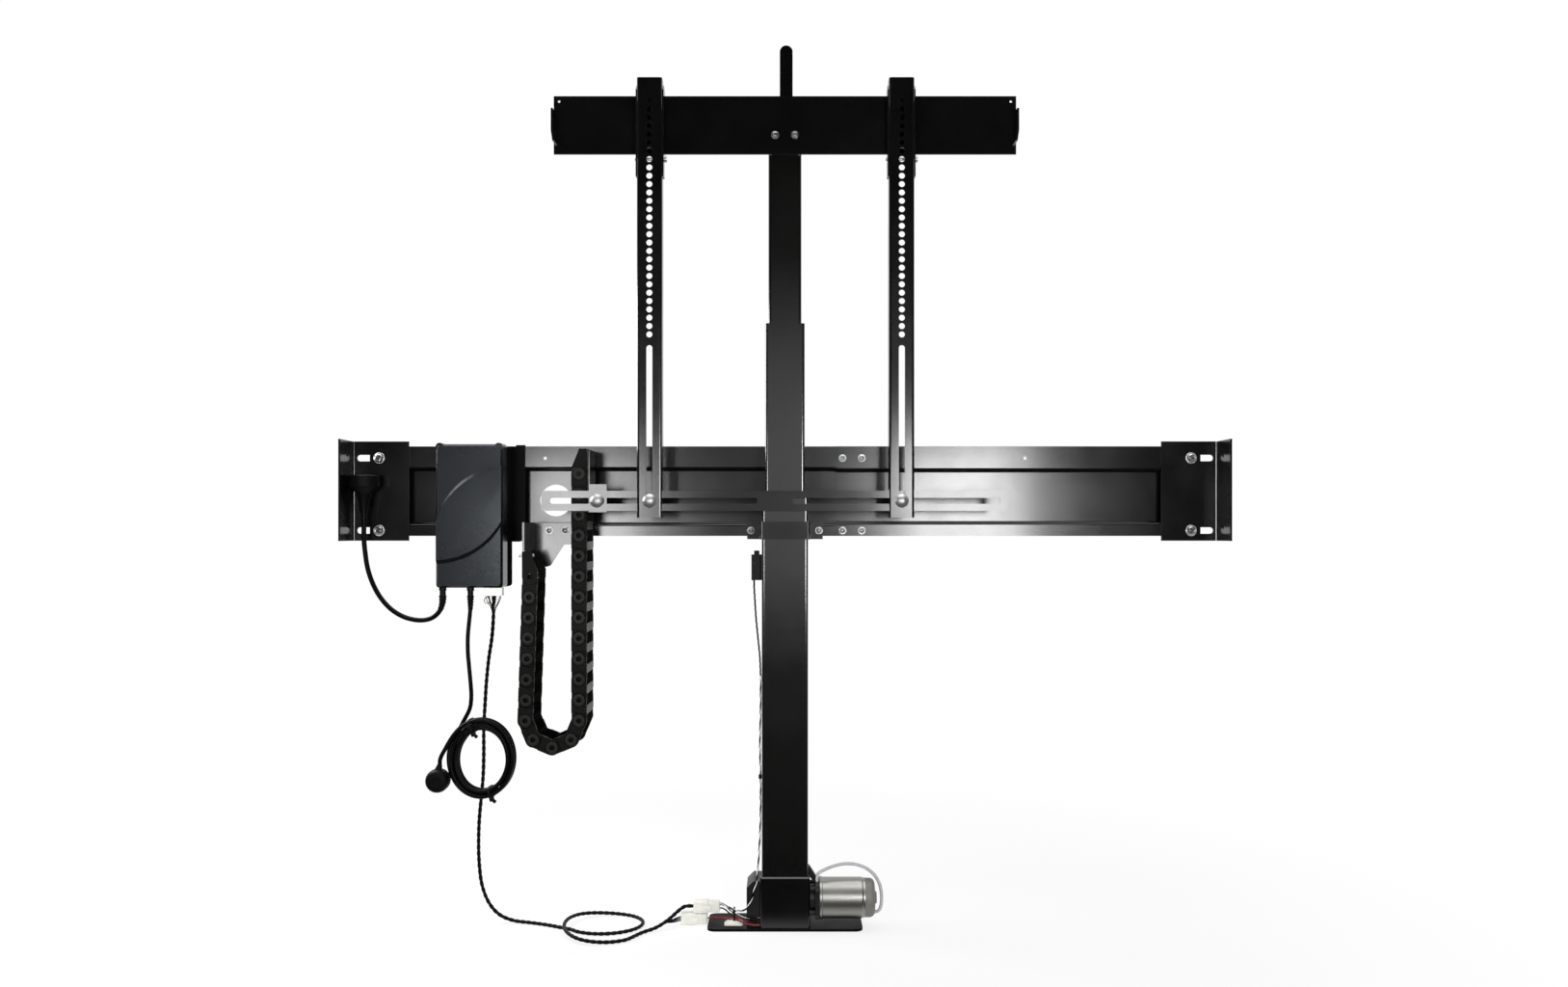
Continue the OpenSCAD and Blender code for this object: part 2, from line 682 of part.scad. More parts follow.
module motor_flange() color(black) difference() {
    union() {
        translate([housing_right, -motor_off, motor_z]) rotate([0, 90, 0]) cylinder(d = 40, h = flange_len);
        along_x(motor_x0 - 5, motor_x0) translate([-motor_off, motor_z])
            rounded(motor_d - 4, motor_d - 6, 12);
        for (y = [-1, 1], z = [-1, 1]) translate([housing_right, -motor_off + y * 18, motor_z + z * 18])
            rotate([0, 90, 0]) cylinder(d = 8, h = flange_len);
        along_y(-motor_off - 6, -motor_off + 6) polygon([
            [outer_w / 2, housing_top + 9], [outer_w / 2, housing_top + 22],
            [outer_w / 2 + 2, housing_top + 22],
            [motor_x0, motor_z + motor_d / 2 - 4], [motor_x0, motor_z + 20], [motor_x0 - 4, motor_z + 20]
        ]);
    }
    translate([housing_right - 1, -motor_off, motor_z]) rotate([0, 90, 0])
        cylinder(d = worm_shaft_d + 4 * hole_clear, h = flange_len + 2);
}

module motor_can() color(zinc) translate([motor_x0, -motor_off, motor_z]) rotate([0, 90, 0]) difference() {
    rotate_extrude($fn = 64) polygon([
        [0, 0], [motor_d / 2 - 2, 0], [motor_d / 2 + 0.5, 1.5], [motor_d / 2 + 0.5, 5], [motor_d / 2 - 0.5, 6],
        [motor_d / 2 - 0.5, motor_len - 5], [motor_d / 2 - 1.5, motor_len - 3], [motor_d / 2 - 1.5, motor_len],
        [0, motor_len]
    ]);
    translate([0, 0, -1]) cylinder(d = worm_shaft_d + 2 * run_clear, h = worm_x1 - motor_x0 + 2);
}

module motor_end_cap() color(grey) translate([motor_x1, -motor_off, motor_z]) rotate([0, 90, 0]) {
    r = motor_d / 2 - 2;
    difference() {
        rotate_extrude($fn = 64) polygon(concat(
            [[0, 0], [r, 0], [r, motor_cap_len - 8]],
            [for (a = [15 : 15 : 90]) [r - 8 + 8 * cos(a), motor_cap_len - 8 + 8 * sin(a)]],
            [[9, motor_cap_len], [9, motor_cap_len + 3], [0, motor_cap_len + 3]]
        ));
        for (a = [-30, 30]) rotate(a) translate([-17, 0, motor_cap_len - 3]) cylinder(d = 6, h = 6);
        translate([motor_z - cap_hole_z, 0, motor_cap_len - 7])
            cylinder(d = motor_cable_d + 2 * hole_clear, h = 12);
    }
}

module spindle_bearing() color(zinc) translate([0, 0, bearing_z]) difference() {
    cylinder(d = bearing_d, h = bearing_h);
    translate([0, 0, -1]) cylinder(d = journal_d + 2 * run_clear, h = bearing_h + 2);
}

module lower_spindle() color(zinc) {
    translate([0, 0, journal_z]) cylinder(d = journal_d, h = spindle_z - journal_z);
    translate([0, 0, spindle_z]) cylinder(d = spindle_d, h = spindle_len);
    translate([-key_reach, -key_w / 2, spindle_top - key_h]) cube([2 * key_reach, key_w, key_h]);
}

module worm_wheel() color(brass) translate([0, 0, motor_z - wheel_h / 2]) difference() {
    cylinder(d = wheel_d, h = wheel_h);
    translate([0, 0, -1]) cylinder(d = journal_d, h = wheel_h + 2);
}

module worm_shaft() color(zinc) translate([0, -motor_off, motor_z]) rotate([0, 90, 0]) {
    translate([0, 0, worm_x0]) cylinder(d = worm_shaft_d, h = worm_x1 - worm_x0);
    translate([0, 0, -worm_len / 2]) cylinder(d = worm_d, h = worm_len);
}

module spindle_nut() color(brass) difference() {
    w = middle_in - 2 * seat_clear;
    along_z(middle_foot, middle_foot + nut_h) rounded(w, w, tube_r);
    translate([0, 0, middle_foot - 1]) cylinder(d = spindle_d + 2 * run_clear, h = nut_h + 2);
}

module upper_bearing() color(zinc) translate([0, 0, middle_foot + nut_h]) difference() {
    cylinder(d = middle_in - 6, h = upper_bearing_h);
    translate([0, 0, -1]) cylinder(d = upper_spindle_d + 2 * run_clear, h = upper_bearing_h + 2);
}

module upper_spindle() color(zinc) along_z(upper_spindle_z, upper_spindle_z + upper_spindle_len) difference() {
    circle(d = upper_spindle_d);
    circle(d = upper_bore_d);
    square([2 * key_reach + 2 * slide_clear, key_w + 2 * slide_clear], center = true);
}

module upper_nut() color(brass) difference() {
    w = inner_in - 2 * seat_clear;
    along_z(inner_foot, inner_foot + nut_h) rounded(w, w, 2.5);
    translate([0, 0, inner_foot - 1]) cylinder(d = upper_spindle_d + 2 * run_clear, h = nut_h + 2);
}

// Column
module middle_tube() color(black) square_tube(middle_w, middle_foot, middle_top);
module inner_tube() color(black) difference() {
    square_tube(inner_w, inner_foot, inner_top);
    for (x = [-1, 1]) hole_y(x * plate_bolt_x, plate_bolt_z, m6 + hole_clear, -inner_w, -inner_in / 2);
    for (z = lid_bolts) hole_y(lid_arm_x, z, m6 + hole_clear, inner_in / 2, inner_w);
}
module outer_glides() color(nylon) four_pads(outer_in / 2 - glide_t, outer_top - glide_inset - glide_h);
module middle_glides() color(nylon) {
    four_pads(middle_w / 2, middle_foot + glide_inset);
    four_pads(middle_in / 2 - glide_t, middle_top - glide_inset - glide_h);
}
module inner_glides() color(nylon) four_pads(inner_w / 2, inner_foot + glide_inset);

// Cabinet rail
module rail_sheet(y, inset, x0, x1) {
    top = channel_top - inset;
    low = channel_low + inset;
    along_x(x0, x1) bent_sheet([
        [y, rail_top], [y, top], [y + rail_depth, top], [y + rail_depth, low], [y, low], [y, rail_z]
    ], rail_t, rail_bend);
}
module rail_holes(xs, zs, d) {
    for (x = xs, z = zs) hole_y(x, z, d, rail_front - rail_t, rail_front + rail_t);
}
module rail_left() color(black) difference() {
    rail_sheet(rail_front, 0, -rail_half, rail_left_end);
    hole_y(cable_hole_x, cable_hole_z, cable_hole_d, rail_front + rail_depth, rail_front + rail_depth + rail_t);
    rail_holes([-hang_hole_x], [top_bolt_z], hang_hole_d);
    rail_holes(splice_x, [low_bolt_z, top_bolt_z], m6 + hole_clear);
    rail_holes(concat(gusset_bolts, [-strap_bolt_x, strap_bolt_x]), [low_bolt_z], m6 + hole_clear);
    rail_holes([-bracket_bolt_x], [low_bolt_z, top_bolt_z], m8 + hole_clear);
}
module rail_right() color(black) difference() {
    rail_sheet(rail_front - rail_t, rail_t, rail_right_start, rail_half);
    rail_holes([hang_hole_x], [top_bolt_z], hang_hole_d);
    rail_holes(splice_x, [low_bolt_z, top_bolt_z], m6 + hole_clear);
    rail_holes([bracket_bolt_x], [low_bolt_z, top_bolt_z], m8 + hole_clear);
}
module rail_bolts() color(zinc) {
    for (x = splice_x, z = [low_bolt_z, top_bolt_z])
        bolt_y(x, rail_front - rail_t, z, m6, m6_head, m6_head_h, 2 * rail_t);
    for (x = concat(gusset_bolts, [-strap_bolt_x, strap_bolt_x]))
        bolt_y(x, rail_front - plate_t, low_bolt_z, m6, m6_head, m6_head_h, plate_t + rail_t);
    end_screws();
}
module bracket_bolts() color(zinc) for (z = [low_bolt_z, top_bolt_z]) {
    grip = plate_t + rail_t + 2 * play;
    bolt_y(-bracket_bolt_x, bracket_seat - plate_t - play, z, m8, m8_head, m8_head_h, grip);
    bolt_y(bracket_bolt_x, bracket_seat - rail_t - plate_t - play, z, m8, m8_head, m8_head_h, grip);
}

// End bracket on the left, with its plate's back on the plane y
module end_bracket(y) difference() {
    along_z(bracket_mid_z - bracket_h / 2, bracket_mid_z + bracket_h / 2) bent_sheet([
        [-bracket_half + bracket_w, y], [-bracket_half, y], [-bracket_half, y - bracket_flange]
    ], plate_t, bracket_r);
    for (z = [low_bolt_z, top_bolt_z]) translate([0, 0, z]) along_y(y - plate_t - 1, y + 1)
        translate([-bracket_bolt_x - bracket_travel / 2, 0]) slot(bracket_travel + slot_w, slot_w);
    for (z = [-1, 1]) translate([-bracket_half - 1, y - bracket_flange / 2, bracket_mid_z + z * wall_pitch / 2])
        rotate([0, 90, 0]) cylinder(d = wall_hole_d, h = plate_t + 2);
}
module left_bracket() color(black) end_bracket(bracket_seat);
module right_bracket() color(black) mirror([1, 0, 0]) end_bracket(bracket_seat - rail_t);

module column_strap() color(black) difference() {
    x = strap_ear_x;
    ear = x + strap_ear;
    y = rail_front - plate_t;
    union() {
        along_z(low_bolt_z - strap_h / 2, low_bolt_z + strap_h / 2) bent_sheet([
            [-ear, y], [-x, y], [-x, -x], [x, -x], [x, y], [ear, y]
        ], plate_t, 1);
        for (s = [-1, 1], z = [-1, 1]) translate([s * (x + strap_ear / 2 + 1), y - strap_lip / 2, low_bolt_z])
            translate([0, 0, z * (strap_h - strap_lip_t) / 2])
                cube([strap_ear - 4, strap_lip + 1, strap_lip_t], center = true);
    }
    for (s = [-1, 1]) hole_y(s * strap_bolt_x, low_bolt_z, m6 + hole_clear, y, rail_front);
}

module limit_switch() color(plastic) translate([-outer_w / 2 - switch_w, switch_y, switch_z]) {
    mid = switch_w / 2;
    difference() {
        cube([switch_w, switch_w, switch_h]);
        for (z = [1, 2]) translate([mid - 3, -1, z * switch_h / 3]) rotate([-90, 0, 0]) cylinder(d = 3, h = 3);
    }
    translate([mid - 4, mid - 4, switch_h - 1]) cube([8, 8, switch_knob + 1]);
    translate([mid + 4, mid, switch_h + switch_knob]) rotate([0, -90, 0]) cylinder(r = switch_knob, h = 8);
}

// Control box
module box_outline(grow) {
    translate([box_x, box_z + box_h / 2]) rounded(box_w + 2 * grow, box_h + 2 * grow, box_r);
}
module control_box_base() color(plastic) difference() {
    along_y(lid_y, box_back) box_outline(0);
    along_y(lid_y - 1, box_back - box_wall) box_outline(-box_wall);
}
function arc_points(a, b, bulge) =
    let (c = norm(b - a) / 2, r = (c * c + bulge * bulge) / (2 * bulge), e = unit(b - a), m = (a + b) / 2,
        o = m - left_of(e) * (r - bulge), half = asin(c / r))
    [for (k = [-6 : 6]) o + r * (left_of(e) * cos(half * k / 6) + e * sin(half * k / 6))];
module leaf(inset) {
    x0 = box_x - box_w / 2 + leaf_side;
    x1 = box_x + box_w / 2 - leaf_side;
    polygon(concat(
        arc_points([x0, box_z + leaf_left[1] - inset], [x1, box_z + leaf_right[1] - inset], leaf_bulge[1]),
        arc_points([x1, box_z + leaf_right[0] + inset], [x0, box_z + leaf_left[0] + inset], leaf_bulge[0])
    ));
}
module control_box_lid() color(plastic) difference() {
    face = box_front + panel_rise;
    union() {
        hull() {
            along_y(face + lid_edge + 1, lid_y) box_outline(0);
            along_y(face, face + lid_edge + 1) box_outline(-lid_edge);
        }
        hull() {
            along_y(face - 0.1, face + 2) leaf(0);
            along_y(box_front, box_front + 0.1) leaf(leaf_bevel);
        }
        for (s = [-1, 1]) translate([box_x + s * (box_w / 2 - lid_boss_r), lid_y, box_top - lid_boss_r + 2])
            rotate([90, 0, 0]) cylinder(r = lid_boss_r, h = lid_d - panel_rise - 1);
    }
    along_y(face + lid_edge, lid_y + 1) box_outline(-box_wall);
}
module box_mount_plate() color(black) {
    y = box_back;
    hook = rail_front + rail_t + mount_plate_t;
    along_y(y, rail_front) {
        translate([(mount_plate_x0 + mount_plate_x1) / 2, (rail_top + mount_plate_low) / 2])
            rounded(mount_plate_x1 - mount_plate_x0, rail_top - mount_plate_low, mount_corner);
        translate([mount_plate_x0, rail_top - mount_corner])
            square([mount_plate_x1 - mount_plate_x0, mount_corner]);
    }
    for (x = [mount_plate_x0, mount_plate_x1 - mount_hook_w]) translate([x, 0, 0]) {
        translate([0, y, rail_top]) cube([mount_hook_w, hook - y, mount_plate_t]);
        translate([0, rail_front + rail_t, rail_top - mount_hook])
            cube([mount_hook_w, mount_plate_t, mount_hook + 1]);
    }
}
module cable_glands() color(plastic) for (x = gland_x) translate([x, gland_y, box_z - gland_h]) {
    d = x == gland_x[0] ? socket_lead_d : mains_d;
    rotate_extrude() polygon([
        [0, 0], [d / 2 + 1, 0], [gland_d / 2 - 1, gland_h * 0.6], [gland_d / 2, gland_h * 0.65],
        [gland_d / 2, gland_h], [0, gland_h]
    ]);
}
module box_connector() color(nylon) translate([connector_x, gland_y, box_z - connector_size[2]]) {
    w = connector_size[0];
    d = connector_size[1];
    translate([-w / 2, -d / 2, 0]) cube(connector_size);
    translate([-4, -d / 2 - 2, 3]) cube([8, 2, 7]);
}

// Cable chain: a link runs along +Z from its first pin to its second
module cheek(y, t, reach) {
    along_y(y, y + t) {
        circle(link_h / 2);
        translate([-link_h / 2, 0]) square([link_h, reach]);
    }
}
module both_sides() {
    children();
    mirror([0, 1, 0]) children();
}
module link() {
    from = link_h / 2 + link_room;
    to = link_pitch - link_h / 2 - link_room;
    both_sides() {
        cheek(link_inner_y, link_t, to);
        translate([0, chain_w / 2, 0]) rotate([90, 0, 0]) translate([0, 0, -pin_proud])
            cylinder(d = link_pin_d, h = link_t + plate_gap + pin_proud + 1);
        difference() {
            translate([0, 0, link_pitch]) mirror([0, 0, 1]) cheek(link_outer_y, link_t, link_pitch - from);
            hole_y(0, link_pitch, link_pin_d + 2 * slide_clear, link_outer_y, chain_w / 2);
        }
        translate([-link_h / 2, link_inner_y, from]) cube([link_h, chain_w / 2 - link_inner_y, to - from]);
    }
    for (s = [-1, 1]) translate([s * (link_h / 2 - tie_bar_t / 2), 0, link_pitch / 2]) {
        cube([tie_bar_t, 2 * link_inner_y + 1, to - from], center = true);
        cube([tie_bar_t, 2 * (link_inner_y - plate_gap), tie_bar_w], center = true);
    }
}
module link_at(x, z, turn) { translate([x, chain_mid_y, z]) rotate([0, turn, 0]) link(); }
module chain_fixed_run() color(plastic)
    for (i = [0 : fixed_links - 1]) let (down = i * link_pitch)
        link_at(chain_top_x - down * sin(fixed_lean), fixed_pin_z - down * cos(fixed_lean), 180 + fixed_lean);
module chain_moving_run() color(plastic)
    for (i = [0 : moving_links - 1]) link_at(chain_right_x, chain_bend_z + i * link_pitch, 0);
function bend_pin(i) = i == 0 ? [chain_left_x, chain_bend_z] :
    bend_pin(i - 1) + link_pitch * [sin(bend_turns[i - 1]), cos(bend_turns[i - 1])];
module chain_bend() color(plastic) for (i = [0 : len(bend_turns) - 1])
    link_at(bend_pin(i)[0], bend_pin(i)[1], bend_turns[i]);
// End connector of the chain
module end_cheek(y, t) {
    r = link_h / 2;
    along_y(y, y + t) {
        circle(r);
        polygon([[-r, 0], [r, 0], [r, end_reach], [0, end_reach], [-r, end_reach - end_slant]]);
    }
}
// Screws that hold the fixed end connector on the gusset's tongue
module at_end_screws() for (s = [-1, 1])
    translate([gusset_x0 + gusset_t, chain_mid_y + s * end_screw_y, end_screw_z]) rotate([0, 90, 0]) children();
module end_screws() at_end_screws() {
    translate([0, 0, end_plate_t]) cylinder(d = end_screw_head, h = end_screw_head_h);
    translate([0, 0, -gusset_t - end_screw_tip])
        cylinder(d = end_screw_d, h = gusset_t + end_screw_tip + end_plate_t + 1);
}
module end_screw_holes() at_end_screws() translate([0, 0, -gusset_t - 1])
    cylinder(d = end_screw_d + hole_clear, h = gusset_t + end_plate_t + 2);
module chain_fixed_end() color(plastic) difference() {
    translate([chain_top_x, chain_mid_y, fixed_pin_z]) {
        both_sides() difference() {
            mirror([1, 0, 0]) end_cheek(link_outer_y, link_t);
            hole_y(0, 0, link_pin_d + 2 * slide_clear, link_outer_y, chain_w / 2);
        }
        from = link_h / 2 + link_room;
        translate([gusset_x0 + gusset_t - chain_top_x, -chain_w / 2, from])
            cube([end_plate_t, chain_w, end_reach - from]);
    }
    end_screw_holes();
}
module chain_moving_end() color(plastic) translate([chain_right_x, chain_mid_y, moving_pin_z]) {
    both_sides() {
        end_cheek(link_inner_y, link_t);
        translate([0, chain_w / 2, 0]) rotate([90, 0, 0]) translate([0, 0, -pin_proud])
            cylinder(d = link_pin_d, h = link_t + plate_gap + pin_proud + 1);
    }
    from = link_h / 2 + link_room;
    translate([link_h / 2 - end_plate_t, -link_inner_y - 1, from])
        cube([end_plate_t, 2 * link_inner_y + 2, end_reach - from]);
}
module chain_gusset() color(black) difference() {
    union() {
        along_y(rail_front - gusset_t, rail_front) polygon([
            [gusset_x0, gusset_top], [gusset_x1, gusset_top], [gusset_x1, gusset_top - 34],
            [gusset_x1 - 20, gusset_top - 34], [gusset_x0 + 29, gusset_low + 2], [gusset_x0 + 23, gusset_low],
            [gusset_x0, gusset_low]
        ]);
        tongue = link_outer_y - 0.5;
        along_x(gusset_x0, gusset_x0 + gusset_t) polygon([
            [chain_mid_y - chain_w / 2, gusset_top], [rail_front - 1, gusset_top], [rail_front - 1, gusset_shoulder],
            [chain_mid_y + tongue, gusset_shoulder], [chain_mid_y + tongue, gusset_low],
            [chain_mid_y - tongue, gusset_low], [chain_mid_y - tongue, gusset_shoulder],
            [chain_mid_y - chain_w / 2, gusset_shoulder]
        ]);
    }
    end_screw_holes();
    for (x = gusset_bolts) hole_y(x, low_bolt_z, m6 + hole_clear, rail_front - gusset_t, rail_front);
}
module chain_bracket() color(black) difference() {
    along_z(chain_bracket_low, chain_bracket_top) bent_sheet([
        [chain_bracket_x, chain_mid_y + chain_w / 2], [chain_bracket_x, bar_back],
        [chain_bracket_x + chain_bracket_w, bar_back]
    ], plate_t, 1);
    translate([chain_bracket_x + plate_t + 2, bar_back - 1, chain_bracket_low + foot_h])
        cube([chain_bracket_w, plate_t + 2, chain_bracket_top]);
    hole_y(chain_bolt_x, bar_z, m8 + hole_clear, bar_back, bar_back + plate_t);
}
module chain_bracket_bolt() color(zinc) carriage_y(chain_bolt_x, bar_front, bar_z, 2 * plate_t);

// TV frame
module cross_plate() color(black) difference() {
    union() {
        translate([-plate_w / 2, plate_front, plate_low]) cube([plate_w, plate_t, plate_h]);
        for (s = [0, 1]) mirror([s, 0, 0]) along_x(plate_w / 2 - plate_t, plate_w / 2)
            translate([plate_front, plate_low + tab_low]) polygon([
                [1, 0], [tab_cut - tab_reach, 0], [-tab_reach, tab_cut], [-tab_reach, tab_h], [1, tab_h]
            ]);
    }
    for (s = [-1, 1]) {
        back = plate_front + plate_t;
        hole_y(s * plate_bolt_x, plate_bolt_z, m6 + hole_clear, plate_front, back);
        hole_y(s * (plate_w / 2 - corner_hole), plate_top - corner_hole, corner_hole_d, plate_front, back);
    }
}
module plate_bolts() color(zinc) {
    grip = plate_t + tube_wall;
    for (s = [-1, 1]) bolt_y(s * plate_bolt_x, plate_front, plate_bolt_z, m6, m6_head, m6_head_h, grip);
    mirror([0, 1, 0]) for (z = lid_bolts)
        bolt_y(lid_arm_x, -inner_w / 2 - lid_arm_t, z, m6, m6_head, m6_head_h, lid_arm_t + tube_wall);
}
module lid_arm() color(black) difference() {
    along_y(inner_w / 2, inner_w / 2 + lid_arm_t) {
        translate([lid_arm_x - lid_arm_w / 2, inner_top - lid_arm_drop])
            square([lid_arm_w, lid_arm_drop + plate_rise + lid_arm_rise - lid_arm_w / 2]);
        translate([lid_arm_x, plate_top + lid_arm_rise - lid_arm_w / 2]) circle(lid_arm_w / 2);
    }
    for (z = lid_bolts) hole_y(lid_arm_x, z, m6 + hole_clear, inner_w / 2, inner_w / 2 + lid_arm_t);
}
module crossbar() color(black) along_y(bar_front, bar_back) translate([bar_mid_x, bar_z]) difference() {
    rounded(bar_w, bar_h, bar_r);
    for (s = [-1, 1]) translate([s * (bar_slot_in + bar_slot_out) / 2, 0])
        slot(bar_slot_out - bar_slot_in, bar_slot_w);
}
module arm_cheek() {
    plate_back = plate_front + plate_t + slide_clear;
    top = plate_top + slide_clear;
    along_x(arm_w / 2, arm_w / 2 + hook_t) polygon([
        [arm_front + 4, hook_low], [arm_back, hook_low], [arm_back, top], [plate_back, top],
        [plate_back, top - hook_drop], [plate_back + 4, top - hook_drop], [plate_back + 4, top + 6],
        [arm_front + 12, top + 12], [arm_front + 4, top + 4]
    ]);
}
module tv_arm() difference() {
    union() {
        along_z(arm_low, arm_top) bent_sheet([
            [-arm_w / 2, arm_back], [-arm_w / 2, arm_front], [arm_w / 2, arm_front], [arm_w / 2, arm_back]
        ], arm_t, arm_r);
        for (s = [0, 1]) mirror([s, 0, 0]) arm_cheek();
    }
    for (i = [0 : arm_holes - 1])
        hole_y(0, arm_hole_top - i * arm_pitch, arm_hole_d, arm_front, arm_front + arm_t);
    translate([0, 0, (arm_slot_low + arm_slot_top) / 2]) along_y(arm_front - 1, arm_front + arm_t + 1)
        rotate(90) slot(arm_slot_top - arm_slot_low, arm_hole_d);
    translate([-arm_w, arm_front + arm_t, bar_z - bar_h / 2 - bar_notch])
        cube([2 * arm_w, arm_depth, bar_h + 2 * bar_notch]);
    translate([-arm_w, lock_y, lock_z]) rotate([0, 90, 0])
        cylinder(d = lock_d + hole_clear, h = 2 * arm_w);
}
module arm_bolts() {
    carriage_y(0, arm_front, bar_z, arm_t + slide_clear + plate_t + play);
    translate([arm_w / 2 + hook_t, lock_y, lock_z]) rotate([0, 90, 0]) {
        cylinder(d = lock_head_d, h = lock_head_h);
        translate([0, 0, -arm_w - 2 * hook_t - 2]) cylinder(d = lock_d, h = arm_w + 2 * hook_t + 3);
    }
}
module left_arm() color(black) translate([-left_arm_x, 0, 0]) tv_arm();
module left_arm_bolts() color(zinc) translate([-left_arm_x, 0, 0]) arm_bolts();
module right_arm() color(black) translate([right_arm_x, 0, 0]) tv_arm();
module right_arm_bolts() color(zinc) translate([right_arm_x, 0, 0]) arm_bolts();

// Cords and what is on them
module switch_wire() color(plastic) cord(smooth(switch_route, 1), switch_wire_d);
module motor_cable() color(grey) cord(smooth(motor_cable_route, 2), motor_cable_d);
module socket_lead() color(plastic) cord(smooth(socket_route, 2), socket_lead_d);
module mains_lead() color(plastic) cord(mains_path, mains_d);
module mains_coil() color(plastic) cord(coil_path, mains_d, 6);
module harness() color(plastic) cord(harness_path, harness_d);
module connector_wires() color("#7a2a22") for (r = wire_routes) cord(smooth(r, 2), wire_d);

module socket_coupler() color(plastic) translate([socket_x, socket_y, socket_z]) difference() {
    head = socket_neck_h;
    top = socket_neck_h + socket_head_h;
    r = socket_d / 2;
    rotate_extrude($fn = 64) polygon([
        [0, 0], [5.5, 0], [6.5, 10], [9, 22], [11.5, 31], [r - 3, head], [r, head + 3], [r, top - 2],
        [r - 2, top], [r - socket_rim, top], [r - socket_rim, top - socket_well], [0, top - socket_well]
    ]);
    for (s = [-1, 1]) translate([s * plug_pin_gap / 2, 0, top - socket_well - plug_pin_h])
        cylinder(d = plug_pin_d + 1, h = plug_pin_h + 1);
}
// Plug with its cord from the side: its back looks forwards and its pins point to the back
module mains_plug() color(plastic) {
    r = plug_d / 2;
    h = plug_h / 2;
    hull() {
        translate(plug_top - [0, 0, 1]) cylinder(d = mains_d + 2, h = 1);
        translate(plug_mid + [0, 0, r - 6]) cylinder(d = plug_neck_d, h = 1);
    }
    translate(plug_mid) rotate([-90, 0, 0]) {
        rotate_extrude($fn = 64) polygon([
            [0, -h], [r - 7, -h], [r - 3, -h + 1.5], [r - 0.8, -h + 4.5], [r, -h + 9], [r, h - 1], [r - 1, h], [0, h]
        ]);
        for (s = [-1, 1]) translate([s * plug_pin_gap / 2, 0, h - 1]) cylinder(d = plug_pin_d, h = plug_pin_h + 1);
    }
}
module harness_connectors() color(nylon) {
    for (p = [lower_block, upper_block]) translate(p) {
        cube(block_size);
        translate([block_size[0] / 3, -2, block_size[2] / 3]) cube([block_size[0] / 3, 3, block_size[2] / 3]);
    }
    translate(tie_mount_at) {
        cube(tie_mount);
        translate([3, 5, 1]) cube([tie_mount[0] - 6, tie_mount[1] - 10, 5]);
    }
}
// Tie round the coil at an angle, and clips that hold the switch's wire to the tube
module coil_tie(a) {
    room = 2 * (turn_gap - 0.2);
    wall = 1.2;
    deep = coil_layer_turns * coil_step + mains_d + room;
    wide = (coil_turns / coil_layer_turns - 1) * coil_step + mains_d + room;
    r = norm([coil_a * cos(a), coil_b * sin(a)]) - coil_layer_turns * coil_step / 2;
    dir = atan2(coil_b * sin(a), coil_a * cos(a));
    translate(coil_mid) rotate([0, -dir, 0]) translate([r, 0, 0]) difference() {
        cube([deep + 2 * wall, wide + 2 * wall, 5], center = true);
        cube([deep, wide, 7], center = true);
    }
}
module cable_ties() color(plastic) {
    for (a = [96, 288]) coil_tie(a);
    for (i = [6, 9]) let (p = switch_route[i]) difference() {
        translate([-outer_w / 2 - 5, p[1] - 3.5, p[2] - 3]) cube([5, 7, 6]);
        translate([p[0], p[1], p[2] - 4]) cylinder(d = switch_wire_d + 1.4, h = 8);
    }
}

base_plate();
outer_tube();
gear_housing();
housing_cover();
motor_flange();
motor_can();
motor_end_cap();
spindle_bearing();
outer_glides();
rail_left();
rail_right();
rail_bolts();
bracket_bolts();
column_strap();
limit_switch();
switch_wire();
box_mount_plate();
control_box_base();
control_box_lid();
cable_glands();
box_connector();
chain_gusset();
chain_fixed_end();
chain_fixed_run();
motor_cable();
socket_lead();
mains_lead();
mains_coil();
mains_plug();
harness();
harness_connectors();
connector_wires();
cable_ties();
middle_tube();
middle_glides();
spindle_nut();
upper_bearing();
inner_tube();
inner_glides();
upper_nut();
cross_plate();
plate_bolts();
lid_arm();
crossbar();
chain_bracket();
chain_bracket_bolt();
chain_moving_end();
chain_moving_run();
chain_bend();
lower_spindle();
worm_wheel();
upper_spindle();
worm_shaft();
left_arm();
left_arm_bolts();
right_arm();
right_arm_bolts();
left_bracket();
socket_coupler();
right_bracket();
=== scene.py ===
"""TV lift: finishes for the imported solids, real cords, a linked cable chain and a plain studio.

Lengths are in metres, in the part's own frame: +X right, +Y back, +Z up, with the origin on the floor
under the column. Sizes that repeat the part's source are written in millimetres and turned into metres by MM.
"""

import logging
import math
from collections.abc import Callable, Iterable, Sequence
from dataclasses import dataclass
from enum import Enum
from typing import ClassVar

import bmesh
import bpy
from mathutils import Matrix, Vector


